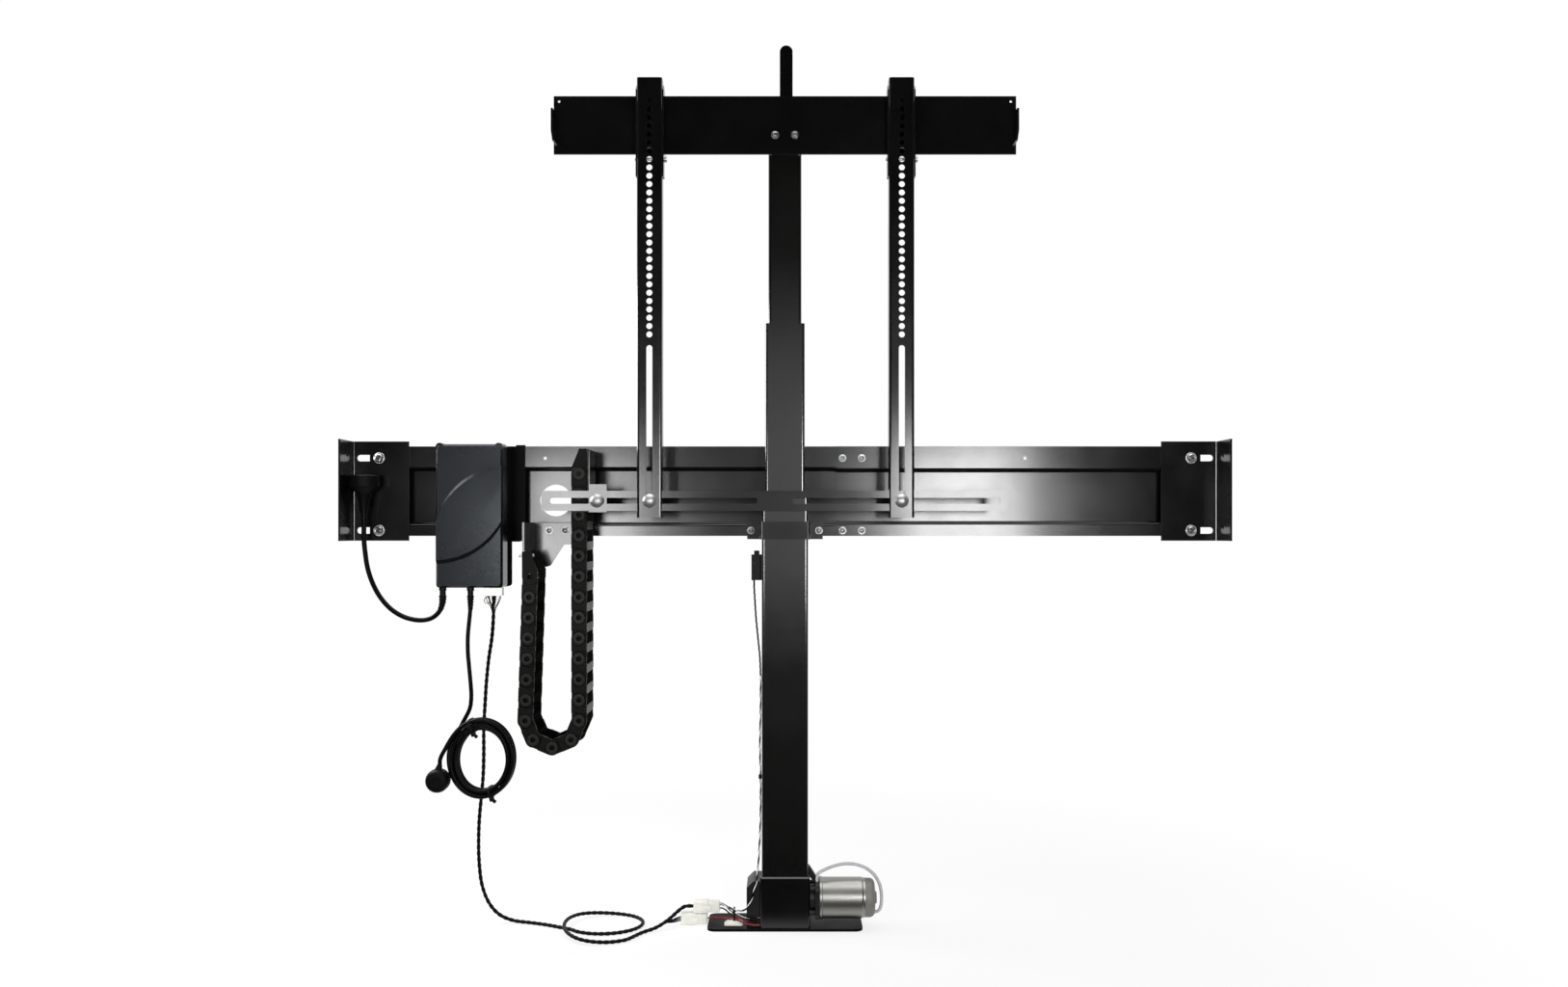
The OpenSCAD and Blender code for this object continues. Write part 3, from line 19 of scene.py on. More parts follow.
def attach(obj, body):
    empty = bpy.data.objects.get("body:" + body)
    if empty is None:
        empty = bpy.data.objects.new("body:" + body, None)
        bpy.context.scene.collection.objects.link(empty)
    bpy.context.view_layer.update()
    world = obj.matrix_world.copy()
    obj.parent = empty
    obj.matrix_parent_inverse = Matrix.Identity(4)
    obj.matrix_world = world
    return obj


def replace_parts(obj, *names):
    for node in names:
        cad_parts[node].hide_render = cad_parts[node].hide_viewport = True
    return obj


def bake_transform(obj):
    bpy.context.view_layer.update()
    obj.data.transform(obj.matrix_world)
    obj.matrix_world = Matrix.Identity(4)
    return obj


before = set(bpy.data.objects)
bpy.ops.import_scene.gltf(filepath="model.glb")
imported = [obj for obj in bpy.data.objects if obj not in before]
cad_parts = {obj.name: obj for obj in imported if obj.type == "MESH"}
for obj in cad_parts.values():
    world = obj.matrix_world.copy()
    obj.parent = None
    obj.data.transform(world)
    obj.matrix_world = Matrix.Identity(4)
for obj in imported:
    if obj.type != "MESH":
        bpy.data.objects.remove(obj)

log = logging.getLogger("tv_lift")

MM = 0.001
TO_METRES = Matrix.Diagonal((MM, MM, MM, 1.0))
NEARLY_ALONG = 0.9
STRAND_SIDES = 8
CORD_RESOLUTION = 4
CORD_SHARP = 60.0

Pair = tuple[float, float]
Triple = tuple[float, float, float]
Colour = tuple[float, float, float]
Outline = Sequence[Pair]
Route = Sequence[Triple]
Socket = bpy.types.NodeSocket


class Body(str, Enum):
    """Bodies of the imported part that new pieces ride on."""

    ROOT = "root"
    MIDDLE = "middle_stage"
    INNER = "inner_stage"
    CHAIN_LOOP = "chain_loop"
    LEFT_END = "left_end"


class Slot(str, Enum):
    """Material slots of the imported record."""

    ZINC = "zinc"
    BLACK_PLASTIC = "black_plastic"
    WHITE_NYLON = "white_nylon"
    BLACK_CABLE = "black_cable"
    PLUG_RUBBER = "plug_rubber"
    GREY_CABLE = "grey_cable"
    RED_WIRE = "red_wire"


class Effect(Enum):
    """Surface effects that several finishes share, each one a shader node group."""

    ORANGE_PEEL = "Orange peel"
    SMUDGE = "Handling smudge"
    # Lighter edges: partly worn paint, partly painted highlight.
    EDGE_WEAR_AND_HIGHLIGHT = "Edge wear"
    DUST = "Settled dust"
    BRUSHING = "Brushed grain"


@dataclass
class Wiring:
    """A hand that adds and links nodes in one node tree."""

    tree: bpy.types.NodeTree

    @classmethod
    def fresh(cls, owner: bpy.types.Material | bpy.types.World) -> "Wiring":
        """Starts a material or a world anew.

        Args:
            owner: The material or the world, whose usual nodes go.

        Returns:
            The wiring of its empty node tree.
        """
        owner.use_nodes = True
        owner.node_tree.nodes.clear()
        return cls(owner.node_tree)

    def add(self, kind: str, inputs: dict | None = None, **settings: object) -> bpy.types.Node:
        """Adds a node.

        Args:
            kind: Blender's name of the node type.
            inputs: Values or sockets for the node's inputs, by name or number.
            settings: Properties of the node.

        Returns:
            The new node.
        """
        node = self.tree.nodes.new(kind)
        for name, value in settings.items():
            setattr(node, name, value)
        for name, value in (inputs or {}).items():
            if isinstance(value, Socket):
                self.tree.links.new(value, node.inputs[name])
            else:
                node.inputs[name].default_value = value
        return node

    def math(self, operation: str, a: object, b: object = 0.0, clamp: bool = False) -> Socket:
        """One Math node.

        Args:
            operation: Blender's name of the operation.
            a: First value or socket.
            b: Second value or socket.
            clamp: Whether the result stays between 0 and 1.

        Returns:
            The node's result.
        """
        return self.add("ShaderNodeMath", {0: a, 1: b}, operation=operation, use_clamp=clamp).outputs[0]

    def between(self, value: object, band: Pair, low: object = 0.0, high: object = 1.0) -> Socket:
        """A smooth step.

        Args:
            value: What is measured.
            band: Value at which the step starts, and the one at which it ends.
            low: Result before the start.
            high: Result after the end.

        Returns:
            The step's result.
        """
        inputs = {"Value": value, "From Min": band[0], "From Max": band[1], "To Min": low, "To Max": high}
        return self.add("ShaderNodeMapRange", inputs, interpolation_type="SMOOTHSTEP").outputs[0]

    def mix(self, share: object, a: object, b: object) -> Socket:
        """A mix of two colours.

        Args:
            share: Share of the second colour.
            a: First colour or socket.
            b: Second colour or socket.

        Returns:
            The mixed colour.
        """
        colours = [(*c, 1.0) if isinstance(c, tuple) else c for c in (a, b)]
        node = self.add("ShaderNodeMix", {0: share, 6: colours[0], 7: colours[1]}, data_type="RGBA")
        return node.outputs[2]

    def noise(self, place: Socket, scale: object, detail: float) -> Socket:
        """A noise from 0 to 1.

        Args:
            place: Where it is read.
            scale: Cells per metre.
            detail: Octaves.

        Returns:
            The noise.
        """
        inputs = {"Vector": place, "Scale": scale, "Detail": detail}
        return self.add("ShaderNodeTexNoise", inputs).outputs[0]

    def effect(self, effect: Effect, output: str, **values: float) -> Socket:
        """Places a shared effect.

        Args:
            effect: Which effect.
            output: Name of the output that is used.
            values: The effect's own values here.

        Returns:
            That output.
        """
        inputs = {name.replace("_", " ").capitalize(): value for name, value in values.items()}
        return self.add("ShaderNodeGroup", inputs, node_tree=EffectShelf.get(effect)).outputs[output]


class EffectShelf:
    """Builds each shared effect once, as a shader node group."""

    CLOUD_BAND: ClassVar[Pair] = (0.32, 0.68)
    EDGE_BAND: ClassVar[Pair] = (0.995, 0.8)
    EDGE_SAMPLES: ClassVar[int] = 3
    CHIP_SCALE: ClassVar[float] = 60.0
    CHIP_BAND: ClassVar[Pair] = (0.35, 0.6)
    CHIP_LEAST: ClassVar[float] = 0.35
    UP_BAND: ClassVar[Pair] = (0.3, 1.0)
    SIDE_DUST: ClassVar[float] = 0.06
    SPECK_SCALE: ClassVar[float] = 420.0
    SPECK_BAND: ClassVar[Pair] = (0.42, 0.75)
    COARSE: ClassVar[float] = 2.0
    FINE: ClassVar[float] = 3.0
    FINEST: ClassVar[float] = 4.0

    @classmethod
    def get(cls, effect: Effect) -> bpy.types.NodeTree:
        """The node group of an effect.

        Args:
            effect: Which effect.

        Returns:
            Its node group, built at the first call.
        """
        made = bpy.data.node_groups.get(effect.value)
        if made is None:
            made = bpy.data.node_groups.new(effect.value, "ShaderNodeTree")
            build = {
                Effect.ORANGE_PEEL: cls._orange_peel,
                Effect.SMUDGE: cls._smudge,
                Effect.EDGE_WEAR_AND_HIGHLIGHT: cls._edge_wear_and_highlight,
                Effect.DUST: cls._dust,
                Effect.BRUSHING: cls._brushing,
            }[effect]
            build(Wiring(made))
        return made

    @staticmethod
    def _sockets(w: Wiring, inputs: dict[str, float], output: str) -> tuple[dict, Callable]:
        """Makes a group's sockets.

        Args:
            w: Wiring of the group.
            inputs: Names of the inputs and their usual values.
            output: Name of the output.

        Returns:
            The inputs inside the group by name, and a call that links the output.
        """
        for name, usual in inputs.items():
            socket = w.tree.interface.new_socket(name, in_out="INPUT", socket_type="NodeSocketFloat")
            socket.default_value = usual
        w.tree.interface.new_socket(output, in_out="OUTPUT", socket_type="NodeSocketFloat")
        entry, end = w.add("NodeGroupInput"), w.add("NodeGroupOutput")
        values = {name: entry.outputs[name] for name in inputs}
        return values, lambda result: w.tree.links.new(result, end.inputs[output])

    @staticmethod
    def _place(w: Wiring) -> Socket:
        """Place on the object itself, which moves with it."""
        return w.add("ShaderNodeTexCoord").outputs["Object"]

    @classmethod
    def _orange_peel(cls, w: Wiring) -> None:
        """Fine ripples of a sprayed or moulded skin."""
        values, done = cls._sockets(w, {"Scale": 700.0}, "Height")
        done(w.noise(cls._place(w), values["Scale"], cls.COARSE))

    @classmethod
    def _smudge(cls, w: Wiring) -> None:
        """Broad clouds between a low and a high value.

        Args:
            w: Wiring of the group.
        """
        values, done = cls._sockets(w, {"Scale": 9.0, "Low": 0.25, "High": 0.35}, "Value")
        cloud = w.noise(cls._place(w), values["Scale"], cls.FINEST)
        done(w.between(cloud, cls.CLOUD_BAND, values["Low"], values["High"]))

    @classmethod
    def _edge_wear_and_highlight(cls, w: Wiring) -> None:
        """Mask of the sharp edges, broken up as thin paint and handling break them: partly worn paint, partly
        painted highlight.

        Args:
            w: Wiring of the group.
        """
        values, done = cls._sockets(w, {"Radius": 0.001, "Amount": 0.5}, "Mask")
        soft = w.add("ShaderNodeBevel", {"Radius": values["Radius"]}, samples=cls.EDGE_SAMPLES).outputs[0]
        flat = w.add("ShaderNodeNewGeometry").outputs["Normal"]
        dot = w.add("ShaderNodeVectorMath", {0: soft, 1: flat}, operation="DOT_PRODUCT").outputs["Value"]
        edge = w.between(dot, cls.EDGE_BAND)
        chips = w.between(w.noise(cls._place(w), cls.CHIP_SCALE, cls.FINE), cls.CHIP_BAND, cls.CHIP_LEAST)
        done(w.math("MULTIPLY", w.math("MULTIPLY", edge, chips), values["Amount"], clamp=True))

    @classmethod
    def _dust(cls, w: Wiring) -> None:
        """Mask of fine dust on the faces that look up.

        Args:
            w: Wiring of the group.
        """
        values, done = cls._sockets(w, {"Amount": 0.3}, "Mask")
        normal = w.add("ShaderNodeNewGeometry").outputs["Normal"]
        height = w.add("ShaderNodeSeparateXYZ", {0: normal}).outputs["Z"]
        up = w.between(height, cls.UP_BAND, cls.SIDE_DUST)
        specks = w.between(w.noise(cls._place(w), cls.SPECK_SCALE, cls.FINE), cls.SPECK_BAND)
        done(w.math("MULTIPLY", w.math("MULTIPLY", up, specks), values["Amount"], clamp=True))

    @classmethod
    def _brushing(cls, w: Wiring) -> None:
        """Fine lines along one axis: the smaller that axis' scale, the longer its lines.

        Args:
            w: Wiring of the group.
        """
        scales = [f"Scale {axis}" for axis in "xyz"]
        values, done = cls._sockets(w, dict.fromkeys(scales, 900.0), "Value")
        stretch = w.add("ShaderNodeCombineXYZ", {i: values[name] for i, name in enumerate(scales)}).outputs[0]
        place = w.add("ShaderNodeVectorMath", {0: cls._place(w), 1: stretch}, operation="MULTIPLY").outputs[0]
        done(w.noise(place, 1.0, cls.FINE))


@dataclass(frozen=True)
class Finish:
    """A finish of one kind of surface."""

    TONE_SCALE: ClassVar[float] = 14.0
    TONE_GAIN: ClassVar[float] = 1.25
    TONE_LIFT: ClassVar[float] = 0.0005
    GLOSS_SCALE: ClassVar[float] = 11.0
    WEAR_AND_HIGHLIGHT_RADIUS: ClassVar[float] = 0.0012
    DUST_COLOUR: ClassVar[Colour] = (0.34, 0.33, 0.31)

    name: str
    colour: Colour
    rough: Pair = (0.25, 0.33)
    specular: float = 0.5
    # Colour and share of the lighter edges: partly worn paint, partly painted highlight.
    wear_and_highlight_colour: Colour = (0.09, 0.09, 0.092)
    wear_and_highlight: float = 0.0
    dust: float = 0.0
    peel_scale: float = 700.0
    peel: float = 0.05
    peel_depth: float = 0.0003
    tint: Colour = (1.0, 1.0, 1.0)

    def material(self) -> bpy.types.Material:
        """The finish's material.

        Returns:
            The material, built at the first call.
        """
        made = bpy.data.materials.get(self.name)
        if made is None:
            made = bpy.data.materials.new(self.name)
            made.diffuse_color = (*self.colour, 1.0)
            w = Wiring.fresh(made)
            bump = w.add("ShaderNodeBump", {
                "Strength": self.peel, "Distance": self.peel_depth, "Height": self._height(w),
            })
            shader = w.add("ShaderNodeBsdfPrincipled", {
                "Base Color": self._base(w), "Roughness": self._roughness(w), "Normal": bump.outputs[0],
                "Specular IOR Level": self.specular, "Specular Tint": (*self.tint, 1.0),
            })
            self._set(shader)
            w.add("ShaderNodeOutputMaterial", {"Surface": shader.outputs[0]})
        return made

    def _base(self, w: Wiring) -> Socket:
        """The base colour: the coat, lighter at its edges as worn paint and painted highlight, and dusty on
        top.

        Args:
            w: Wiring of the material.

        Returns:
            The colour.
        """
        tone = w.effect(Effect.SMUDGE, "Value", scale=self.TONE_SCALE, low=0.0, high=1.0)
        lighter = tuple(min(1.0, c * self.TONE_GAIN + self.TONE_LIFT) for c in self.colour)
        colour = w.mix(tone, self.colour, lighter)
        # The lighter edges are partly worn paint, partly painted highlight.
        if self.wear_and_highlight:
            mask = w.effect(Effect.EDGE_WEAR_AND_HIGHLIGHT, "Mask", radius=self.WEAR_AND_HIGHLIGHT_RADIUS, amount=self.wear_and_highlight)
            colour = w.mix(mask, colour, self.wear_and_highlight_colour)
        if self.dust:
            colour = w.mix(w.effect(Effect.DUST, "Mask", amount=self.dust), colour, self.DUST_COLOUR)
        return colour

    def _roughness(self, w: Wiring) -> Socket:
        """Roughness in broad clouds."""
        low, high = self.rough
        return w.effect(Effect.SMUDGE, "Value", scale=self.GLOSS_SCALE, low=low, high=high)

    def _height(self, w: Wiring) -> Socket:
        """Height of the surface's fine relief."""
        return w.effect(Effect.ORANGE_PEEL, "Height", scale=self.peel_scale)

    def _set(self, shader: bpy.types.Node) -> None:
        """Sets what is the same all over the surface; a plain coat needs nothing."""


@dataclass(frozen=True)
class Metal(Finish):
    """Bare or plated metal with fine lines along one axis."""

    LINE_SHADE: ClassVar[float] = 0.72

    lines: Triple = (900.0, 900.0, 900.0)

    def _set(self, shader: bpy.types.Node) -> None:
        """Makes the surface metal."""
        shader.inputs["Metallic"].default_value = 1.0

    def _base(self, w: Wiring) -> Socket:
        """The metal's colour, a little darker along its lines."""
        darker = tuple(c * self.LINE_SHADE for c in self.colour)
        return w.mix(self._height(w), darker, self.colour)

    def _height(self, w: Wiring) -> Socket:
        """The lines that drawing or turning left."""
        scales = {f"scale_{axis}": value for axis, value in zip("xyz", self.lines)}
        return w.effect(Effect.BRUSHING, "Value", **scales)


@dataclass(frozen=True)
class Nylon(Finish):
    """Natural nylon, which lets some light in."""

    weight: float = 0.25
    spread: Triple = (1.0, 0.9, 0.75)
    depth: float = 0.0015

    def _set(self, shader: bpy.types.Node) -> None:
        """Lets light spread under the skin.

        Args:
            shader: Shader of the material.
        """
        shader.inputs["Subsurface Weight"].default_value = self.weight
        shader.inputs["Subsurface Radius"].default_value = self.spread
        shader.inputs["Subsurface Scale"].default_value = self.depth


# Lighter edge colours below are partly worn paint, partly painted highlight.
GLOSS_COAT = Finish("gloss black coat", (0.002, 0.002, 0.0021), (0.16, 0.21), wear_and_highlight=0.4,
                    wear_and_highlight_colour=(0.05,) * 3, dust=0.03)
SATIN_COAT = Finish("satin black coat", (0.0024, 0.0023, 0.0021), (0.13, 0.16), specular=1.0, wear_and_highlight=0.4,
                    wear_and_highlight_colour=(0.05,) * 3, dust=0.03, peel=0.08)
CAST_BLACK = Finish("black gear housing", (0.003, 0.003, 0.0031), (0.42, 0.52), specular=0.3, wear_and_highlight=0.4,
                    wear_and_highlight_colour=(0.04,) * 3, dust=0.05, peel_scale=420.0, peel=0.2)
BASE_COAT = Finish("dull black coat", (0.0024, 0.0024, 0.0025), (0.36, 0.46), specular=0.03, wear_and_highlight=0.4,
                   wear_and_highlight_colour=(0.05,) * 3, dust=0.03)
ZINC = Metal("bright zinc", (0.62, 0.625, 0.64), (0.26, 0.38), lines=(420.0, 420.0, 420.0), peel=0.06)
DOME_ZINC = Metal("rolled zinc", (0.62, 0.625, 0.64), (0.4, 0.5), lines=(420.0, 420.0, 420.0), peel=0.06)
NICKEL = Metal("nickel pin", (0.68, 0.66, 0.62), (0.16, 0.26), lines=(1500.0, 1500.0, 60.0))
MOTOR_STEEL = Metal("satin motor can", (0.3, 0.297, 0.28), (0.3, 0.38), lines=(40.0, 1400.0, 1400.0),
                    peel=0.12)
GROUND_STEEL = Metal("ground steel", (0.56, 0.57, 0.59), (0.18, 0.3), lines=(1400.0, 1400.0, 900.0), peel=0.1)
BRONZE = Metal("machined bronze", (0.55, 0.35, 0.14), (0.24, 0.36), lines=(700.0, 700.0, 1500.0), peel=0.1)
CAP_GREY = Finish("grey motor cap", (0.12, 0.117, 0.105), (0.42, 0.55), wear_and_highlight=0.35,
                  wear_and_highlight_colour=(0.4, 0.39, 0.37), dust=0.1, peel_scale=900.0, peel=0.14)
LINK_PLASTIC = Finish("black link plastic", (0.005, 0.005, 0.0046), (0.4, 0.5), specular=0.05, wear_and_highlight=0.3,
                      wear_and_highlight_colour=(0.03,) * 3, dust=0.05, peel_scale=1300.0, peel=0.2)
BOSS_PLASTIC = Finish("rubbed link plastic", (0.012, 0.012, 0.0112), (0.36, 0.46), specular=0.1, dust=0.05,
                      peel_scale=1300.0, peel=0.2)
# Painted shade: darker bars with no reflection for the fixed run and the bend, shaded by the moving run.
SHADE_PLASTIC = Finish("painted shade link plastic", (0.003, 0.003, 0.0028), (0.55, 0.65), specular=0.0, wear_and_highlight=0.5,
                       wear_and_highlight_colour=(0.03,) * 3, peel_scale=1300.0, peel=0.2)
# Painted light: lighter bars for the moving run, where the right lamp falls on them.
LIT_BAR_PLASTIC = Finish("painted light link plastic", (0.03, 0.03, 0.029), (0.42, 0.55), specular=0.2, wear_and_highlight=0.3,
                     wear_and_highlight_colour=(0.06,) * 3, dust=0.08, peel_scale=1300.0, peel=0.2)
TRIM_PLASTIC = Finish("black trim plastic", (0.003, 0.003, 0.0031), (0.34, 0.46), specular=0.12, dust=0.04,
                      peel_scale=1200.0, peel=0.16)
BOX_PLASTIC = Finish("smooth box plastic", (0.0036, 0.0042, 0.0054), (0.2, 0.36), specular=0.22, wear_and_highlight=0.35,
                     wear_and_highlight_colour=(0.05, 0.052, 0.055), dust=0.04, peel_scale=850.0, peel=0.16,
                     tint=(0.86, 0.93, 1.0))
BOX_BACK = Finish("dull box plastic", (0.006, 0.0055, 0.0055), (0.4, 0.5), specular=0.0, wear_and_highlight=0.2, dust=0.04,
                  wear_and_highlight_colour=(0.03,) * 3, peel_scale=850.0, peel=0.16)
PLUG_RUBBER = Finish("moulded plug", (0.0026, 0.0026, 0.0026), (0.4, 0.52), specular=0.07, dust=0.04,
                     peel_scale=1000.0, peel=0.18)
SHEATH = Finish("black cable sheath", (0.002, 0.002, 0.0021), (0.3, 0.42), specular=0.07, dust=0.04,
                peel_scale=1500.0, peel=0.12)
GREY_SHEATH = Finish("grey cable sheath", (0.42, 0.42, 0.43), (0.38, 0.5), peel_scale=1500.0, peel=0.12)
WHITE_WIRE = Finish("white wire", (0.72, 0.72, 0.7), (0.4, 0.5), peel_scale=1800.0, peel=0.08)
RED_WIRE = Finish("red wire", (0.3, 0.022, 0.03), (0.34, 0.44), peel_scale=1800.0, peel=0.08)
WHITE_NYLON = Nylon("natural nylon", (0.74, 0.735, 0.68), (0.36, 0.46), dust=0.05, peel_scale=900.0, peel=0.1)


def mm(points: Route) -> list[Vector]:
    """Points given in millimetres, in metres."""
    return [Vector(p) * MM for p in points]


def smoothed(points: Sequence[Vector], steps: int = 5) -> list[Vector]:
    """A smooth curve through a route.

    Args:
        points: The route, whose first and last stretch stay straight.
        steps: Steps between two points.

    Returns:
        The curve's points.
    """
    last = len(points) - 1

    def at(i: int, u: float) -> Vector:
        """Point of the curve after a point of the route.

        Args:
            i: The point's number.
            u: Share of the way to the next one.

        Returns:
            The point of the curve.
        """
        a, b, c, d = points[max(i - 1, 0)], points[i], points[min(i + 1, last)], points[min(i + 2, last)]
        square, cube = 2 * a - 5 * b + 4 * c - d, 3 * b - a - 3 * c + d
        return 0.5 * (2 * b + (c - a) * u + square * u ** 2 + cube * u ** 3)

    inner = [at(i, k / steps) for i in range(1, last - 1) for k in range(steps)]
    return [points[0], *inner, points[last - 1], points[last]]


def spaced(path: Sequence[Vector], step: float) -> list[Vector]:
    """A path again with even steps.

    Args:
        path: The path's points.
        step: Distance between two new points.

    Returns:
        The new points, with both ends kept.
    """
    along = [0.0]
    for a, b in zip(path, path[1:]):
        along.append(along[-1] + (b - a).length)
    count, made, i = max(2, round(along[-1] / step)), [], 0
    for k in range(count + 1):
        s = along[-1] * k / count
        while i < len(path) - 2 and along[i + 1] < s:
            i += 1
        made.append(path[i].lerp(path[i + 1], (s - along[i]) / max(along[i + 1] - along[i], 1e-12)))
    return made


def carried(path: Sequence[Vector]) -> list[tuple[Vector, Vector]]:
    """Frames carried along a path without twist.

    Args:
        path: The path's points.

    Returns:
        Two directions across the path at each point.
    """
    frames: list[tuple[Vector, Vector]] = []
    for i in range(len(path)):
        ahead = (path[min(i + 1, len(path) - 1)] - path[max(i - 1, 0)]).normalized()
        last = frames[-1][0] if frames else Vector((1, 0, 0) if abs(ahead.y) > NEARLY_ALONG else (0, 1, 0))
        side = (last - last.dot(ahead) * ahead).normalized()
        frames.append((side, ahead.cross(side)))
    return frames


def circle(radius: float, sides: int) -> Outline:
    """A round outline."""
    return [(radius * math.cos(2 * math.pi * k / sides), radius * math.sin(2 * math.pi * k / sides))
            for k in range(sides)]


def rounded(width: float, height: float, radius: float, steps: int = 4) -> Outline:
    """A rectangle with round corners.

    Args:
        width: Its width.
        height: Its height.
        radius: Corner radius.
        steps: Steps round each corner.

    Returns:
        Its outline round the middle.
    """
    points = []
    for q, (sx, sy) in enumerate(((1, 1), (-1, 1), (-1, -1), (1, -1))):
        for k in range(steps + 1):
            a = math.pi / 2 * (q + k / steps)
            points.append((sx * (width / 2 - radius) + radius * math.cos(a),
                           sy * (height / 2 - radius) + radius * math.sin(a)))
    return points


def placed(name: str, data: bpy.types.ID) -> bpy.types.Object:
    """A new object in the scene.

    Args:
        name: Its name.
        data: Its mesh, curve, lamp or camera.

    Returns:
        The object.
    """
    made = bpy.data.objects.new(name, data)
    bpy.context.scene.collection.objects.link(made)
    return made


class Shell:
    """Collects the faces of one piece and turns them into an object."""

    LEAST_CORNER: ClassVar[float] = 0.1

    def __init__(self) -> None:
        """Starts with no faces."""
        self.points: list[Vector] = []
        self.faces: list[tuple[int, ...]] = []

    def skin(self, rings: Sequence[Sequence[Vector]], caps: bool = True) -> None:
        """Adds a closed skin over rings of equal length.

        Args:
            rings: The rings in order.
            caps: Whether the two ends are closed.
        """
        first, n = len(self.points), len(rings[0])
        for ring in rings:
            self.points.extend(ring)
        for r in range(len(rings) - 1):
            a, b = first + r * n, first + (r + 1) * n
            self.faces.extend((a + j, a + (j + 1) % n, b + (j + 1) % n, b + j) for j in range(n))
        if caps:
            end = first + (len(rings) - 1) * n
            self.faces.append(tuple(range(first + n - 1, first - 1, -1)))
            self.faces.append(tuple(range(end, end + n)))

    def tube(self, path: Sequence[Vector], radius: float | Sequence[float], sides: int = 12) -> None:
        """Adds a round tube.

        Args:
            path: Its centreline.
            radius: Its radius, or one for each point.
            sides: Sides round it.
        """
        radii = [radius] * len(path) if isinstance(radius, float) else radius
        self.skin([[p + u * x + v * y for x, y in circle(r, sides)]
                   for p, (u, v), r in zip(path, carried(path), radii)])

    def turned(self, profile: Outline, place: Matrix, sides: int = 24) -> None:
        """Adds a turned solid.

        Args:
            profile: Radius and height of each ring, none on the axis.
            place: From the solid's own axis, Z, to the part's frame.
            sides: Sides round it.
        """
        self.skin([[place @ Vector((x, y, h)) for x, y in circle(r, sides)] for r, h in profile])

    def prism(self, outline: Callable[[float], Outline], span: Pair, chamfer: float, place: Matrix) -> None:
        """Adds an extruded outline with chamfered ends.

        Args:
            outline: The outline at an inset.
            span: Where it starts and where it ends along its axis.
            chamfer: Width of the chamfer at both ends.
            place: From the outline's plane and its axis to the part's frame.
        """
        low, high = span
        levels = ((low, chamfer), (low + chamfer, 0.0), (high - chamfer, 0.0), (high, chamfer))
        self.skin([[place @ Vector((x, y, h)) for x, y in outline(inset)] for h, inset in levels])

    def bar(self, section: Triple, span: Pair, chamfer: float, place: Matrix) -> None:
        """Adds a bar with round corners.

        Args:
            section: Its width, its height and its corner radius.
            span: Where it starts and where it ends along its axis.
            chamfer: Width of the chamfer at both ends.
            place: From the section's plane and its axis to the part's frame.
        """
        width, height, corner = section
        self.prism(lambda i: rounded(width - 2 * i, height - 2 * i, corner), span, chamfer, place)

    def block(self, size: Triple, middle: Vector, corner: float, chamfer: float, axis: str = "Z") -> None:
        """Adds a block with round corners, given in millimetres.

        Args:
            size: Its size along X, Y and Z.
            middle: Its middle.
            corner: Corner radius round the axis.
            chamfer: Chamfer at its two ends.
            axis: Axis that its corners run along.
        """
        turn = {"X": Matrix.Rotation(math.pi / 2, 4, "Y"), "Y": Matrix.Rotation(-math.pi / 2, 4, "X"),
                "Z": Matrix.Identity(4)}[axis]
        x, y, z = size
        w, h, length = {"X": (z, y, x), "Y": (x, z, y), "Z": (x, y, z)}[axis]
        self.prism(lambda i: rounded(w - 2 * i, h - 2 * i, max(corner - i, self.LEAST_CORNER)),
                   (-length / 2, length / 2), chamfer, TO_METRES @ Matrix.Translation(middle) @ turn)

    def piece(self, name: str, finish: Finish, slot: Slot, sharp: float = 35.0) -> bpy.types.Object:
        """Turns the faces into an object.

        Args:
            name: Its name.
            finish: Its finish.
            slot: Its material slot, which is not used.
            sharp: Angle in degrees from which an edge stays sharp.

        Returns:
            The object, in its place in the part's frame.
        """
        mesh = bpy.data.meshes.new(name)
        mesh.from_pydata([tuple(p) for p in self.points], [], self.faces)
        work = bmesh.new()
        work.from_mesh(mesh)
        bmesh.ops.recalc_face_normals(work, faces=work.faces)
        work.to_mesh(mesh)
        work.free()
        mesh.shade_smooth()
        mesh.set_sharp_from_angle(angle=math.radians(sharp))
        mesh.materials.append(finish.material())
        return placed(name, mesh)


def merged(shells: Iterable[Shell]) -> Shell:
    """Several shells as one.

    Args:
        shells: The shells in order.

    Returns:
        A shell with all their faces.
    """
    whole = Shell()
    for shell in shells:
        first = len(whole.points)
        whole.points.extend(shell.points)
        whole.faces.extend(tuple(first + i for i in face) for face in shell.faces)
    return whole


def repaint(piece: bpy.types.Object, finish: Finish, faces: Iterable[bpy.types.MeshPolygon]) -> None:
    """Gives some faces of a piece a further finish.

    Args:
        piece: The piece.
        finish: The further finish.
        faces: The faces that take it.
    """
    piece.data.materials.append(finish.material())
    for face in faces:
        face.material_index = len(piece.data.materials) - 1


def cord_curve(name: str, path: Sequence[Vector], diameter: float, finish: Finish) -> bpy.types.Object:
    """A round cord as a curve.

    Args:
        name: Its name.
        path: Its centreline.
        diameter: Its diameter.
        finish: Its finish.

    Returns:
        The curve object.
    """
    data = bpy.data.curves.new(name, "CURVE")
    data.dimensions, data.use_fill_caps = "3D", True
    data.bevel_depth, data.bevel_resolution = diameter / 2, CORD_RESOLUTION
    spline = data.splines.new("POLY")
    spline.points.add(len(path) - 1)
    for point, place in zip(spline.points, path):
        point.co = (*place, 1.0)
    data.materials.append(finish.material())
    return placed(name, data)


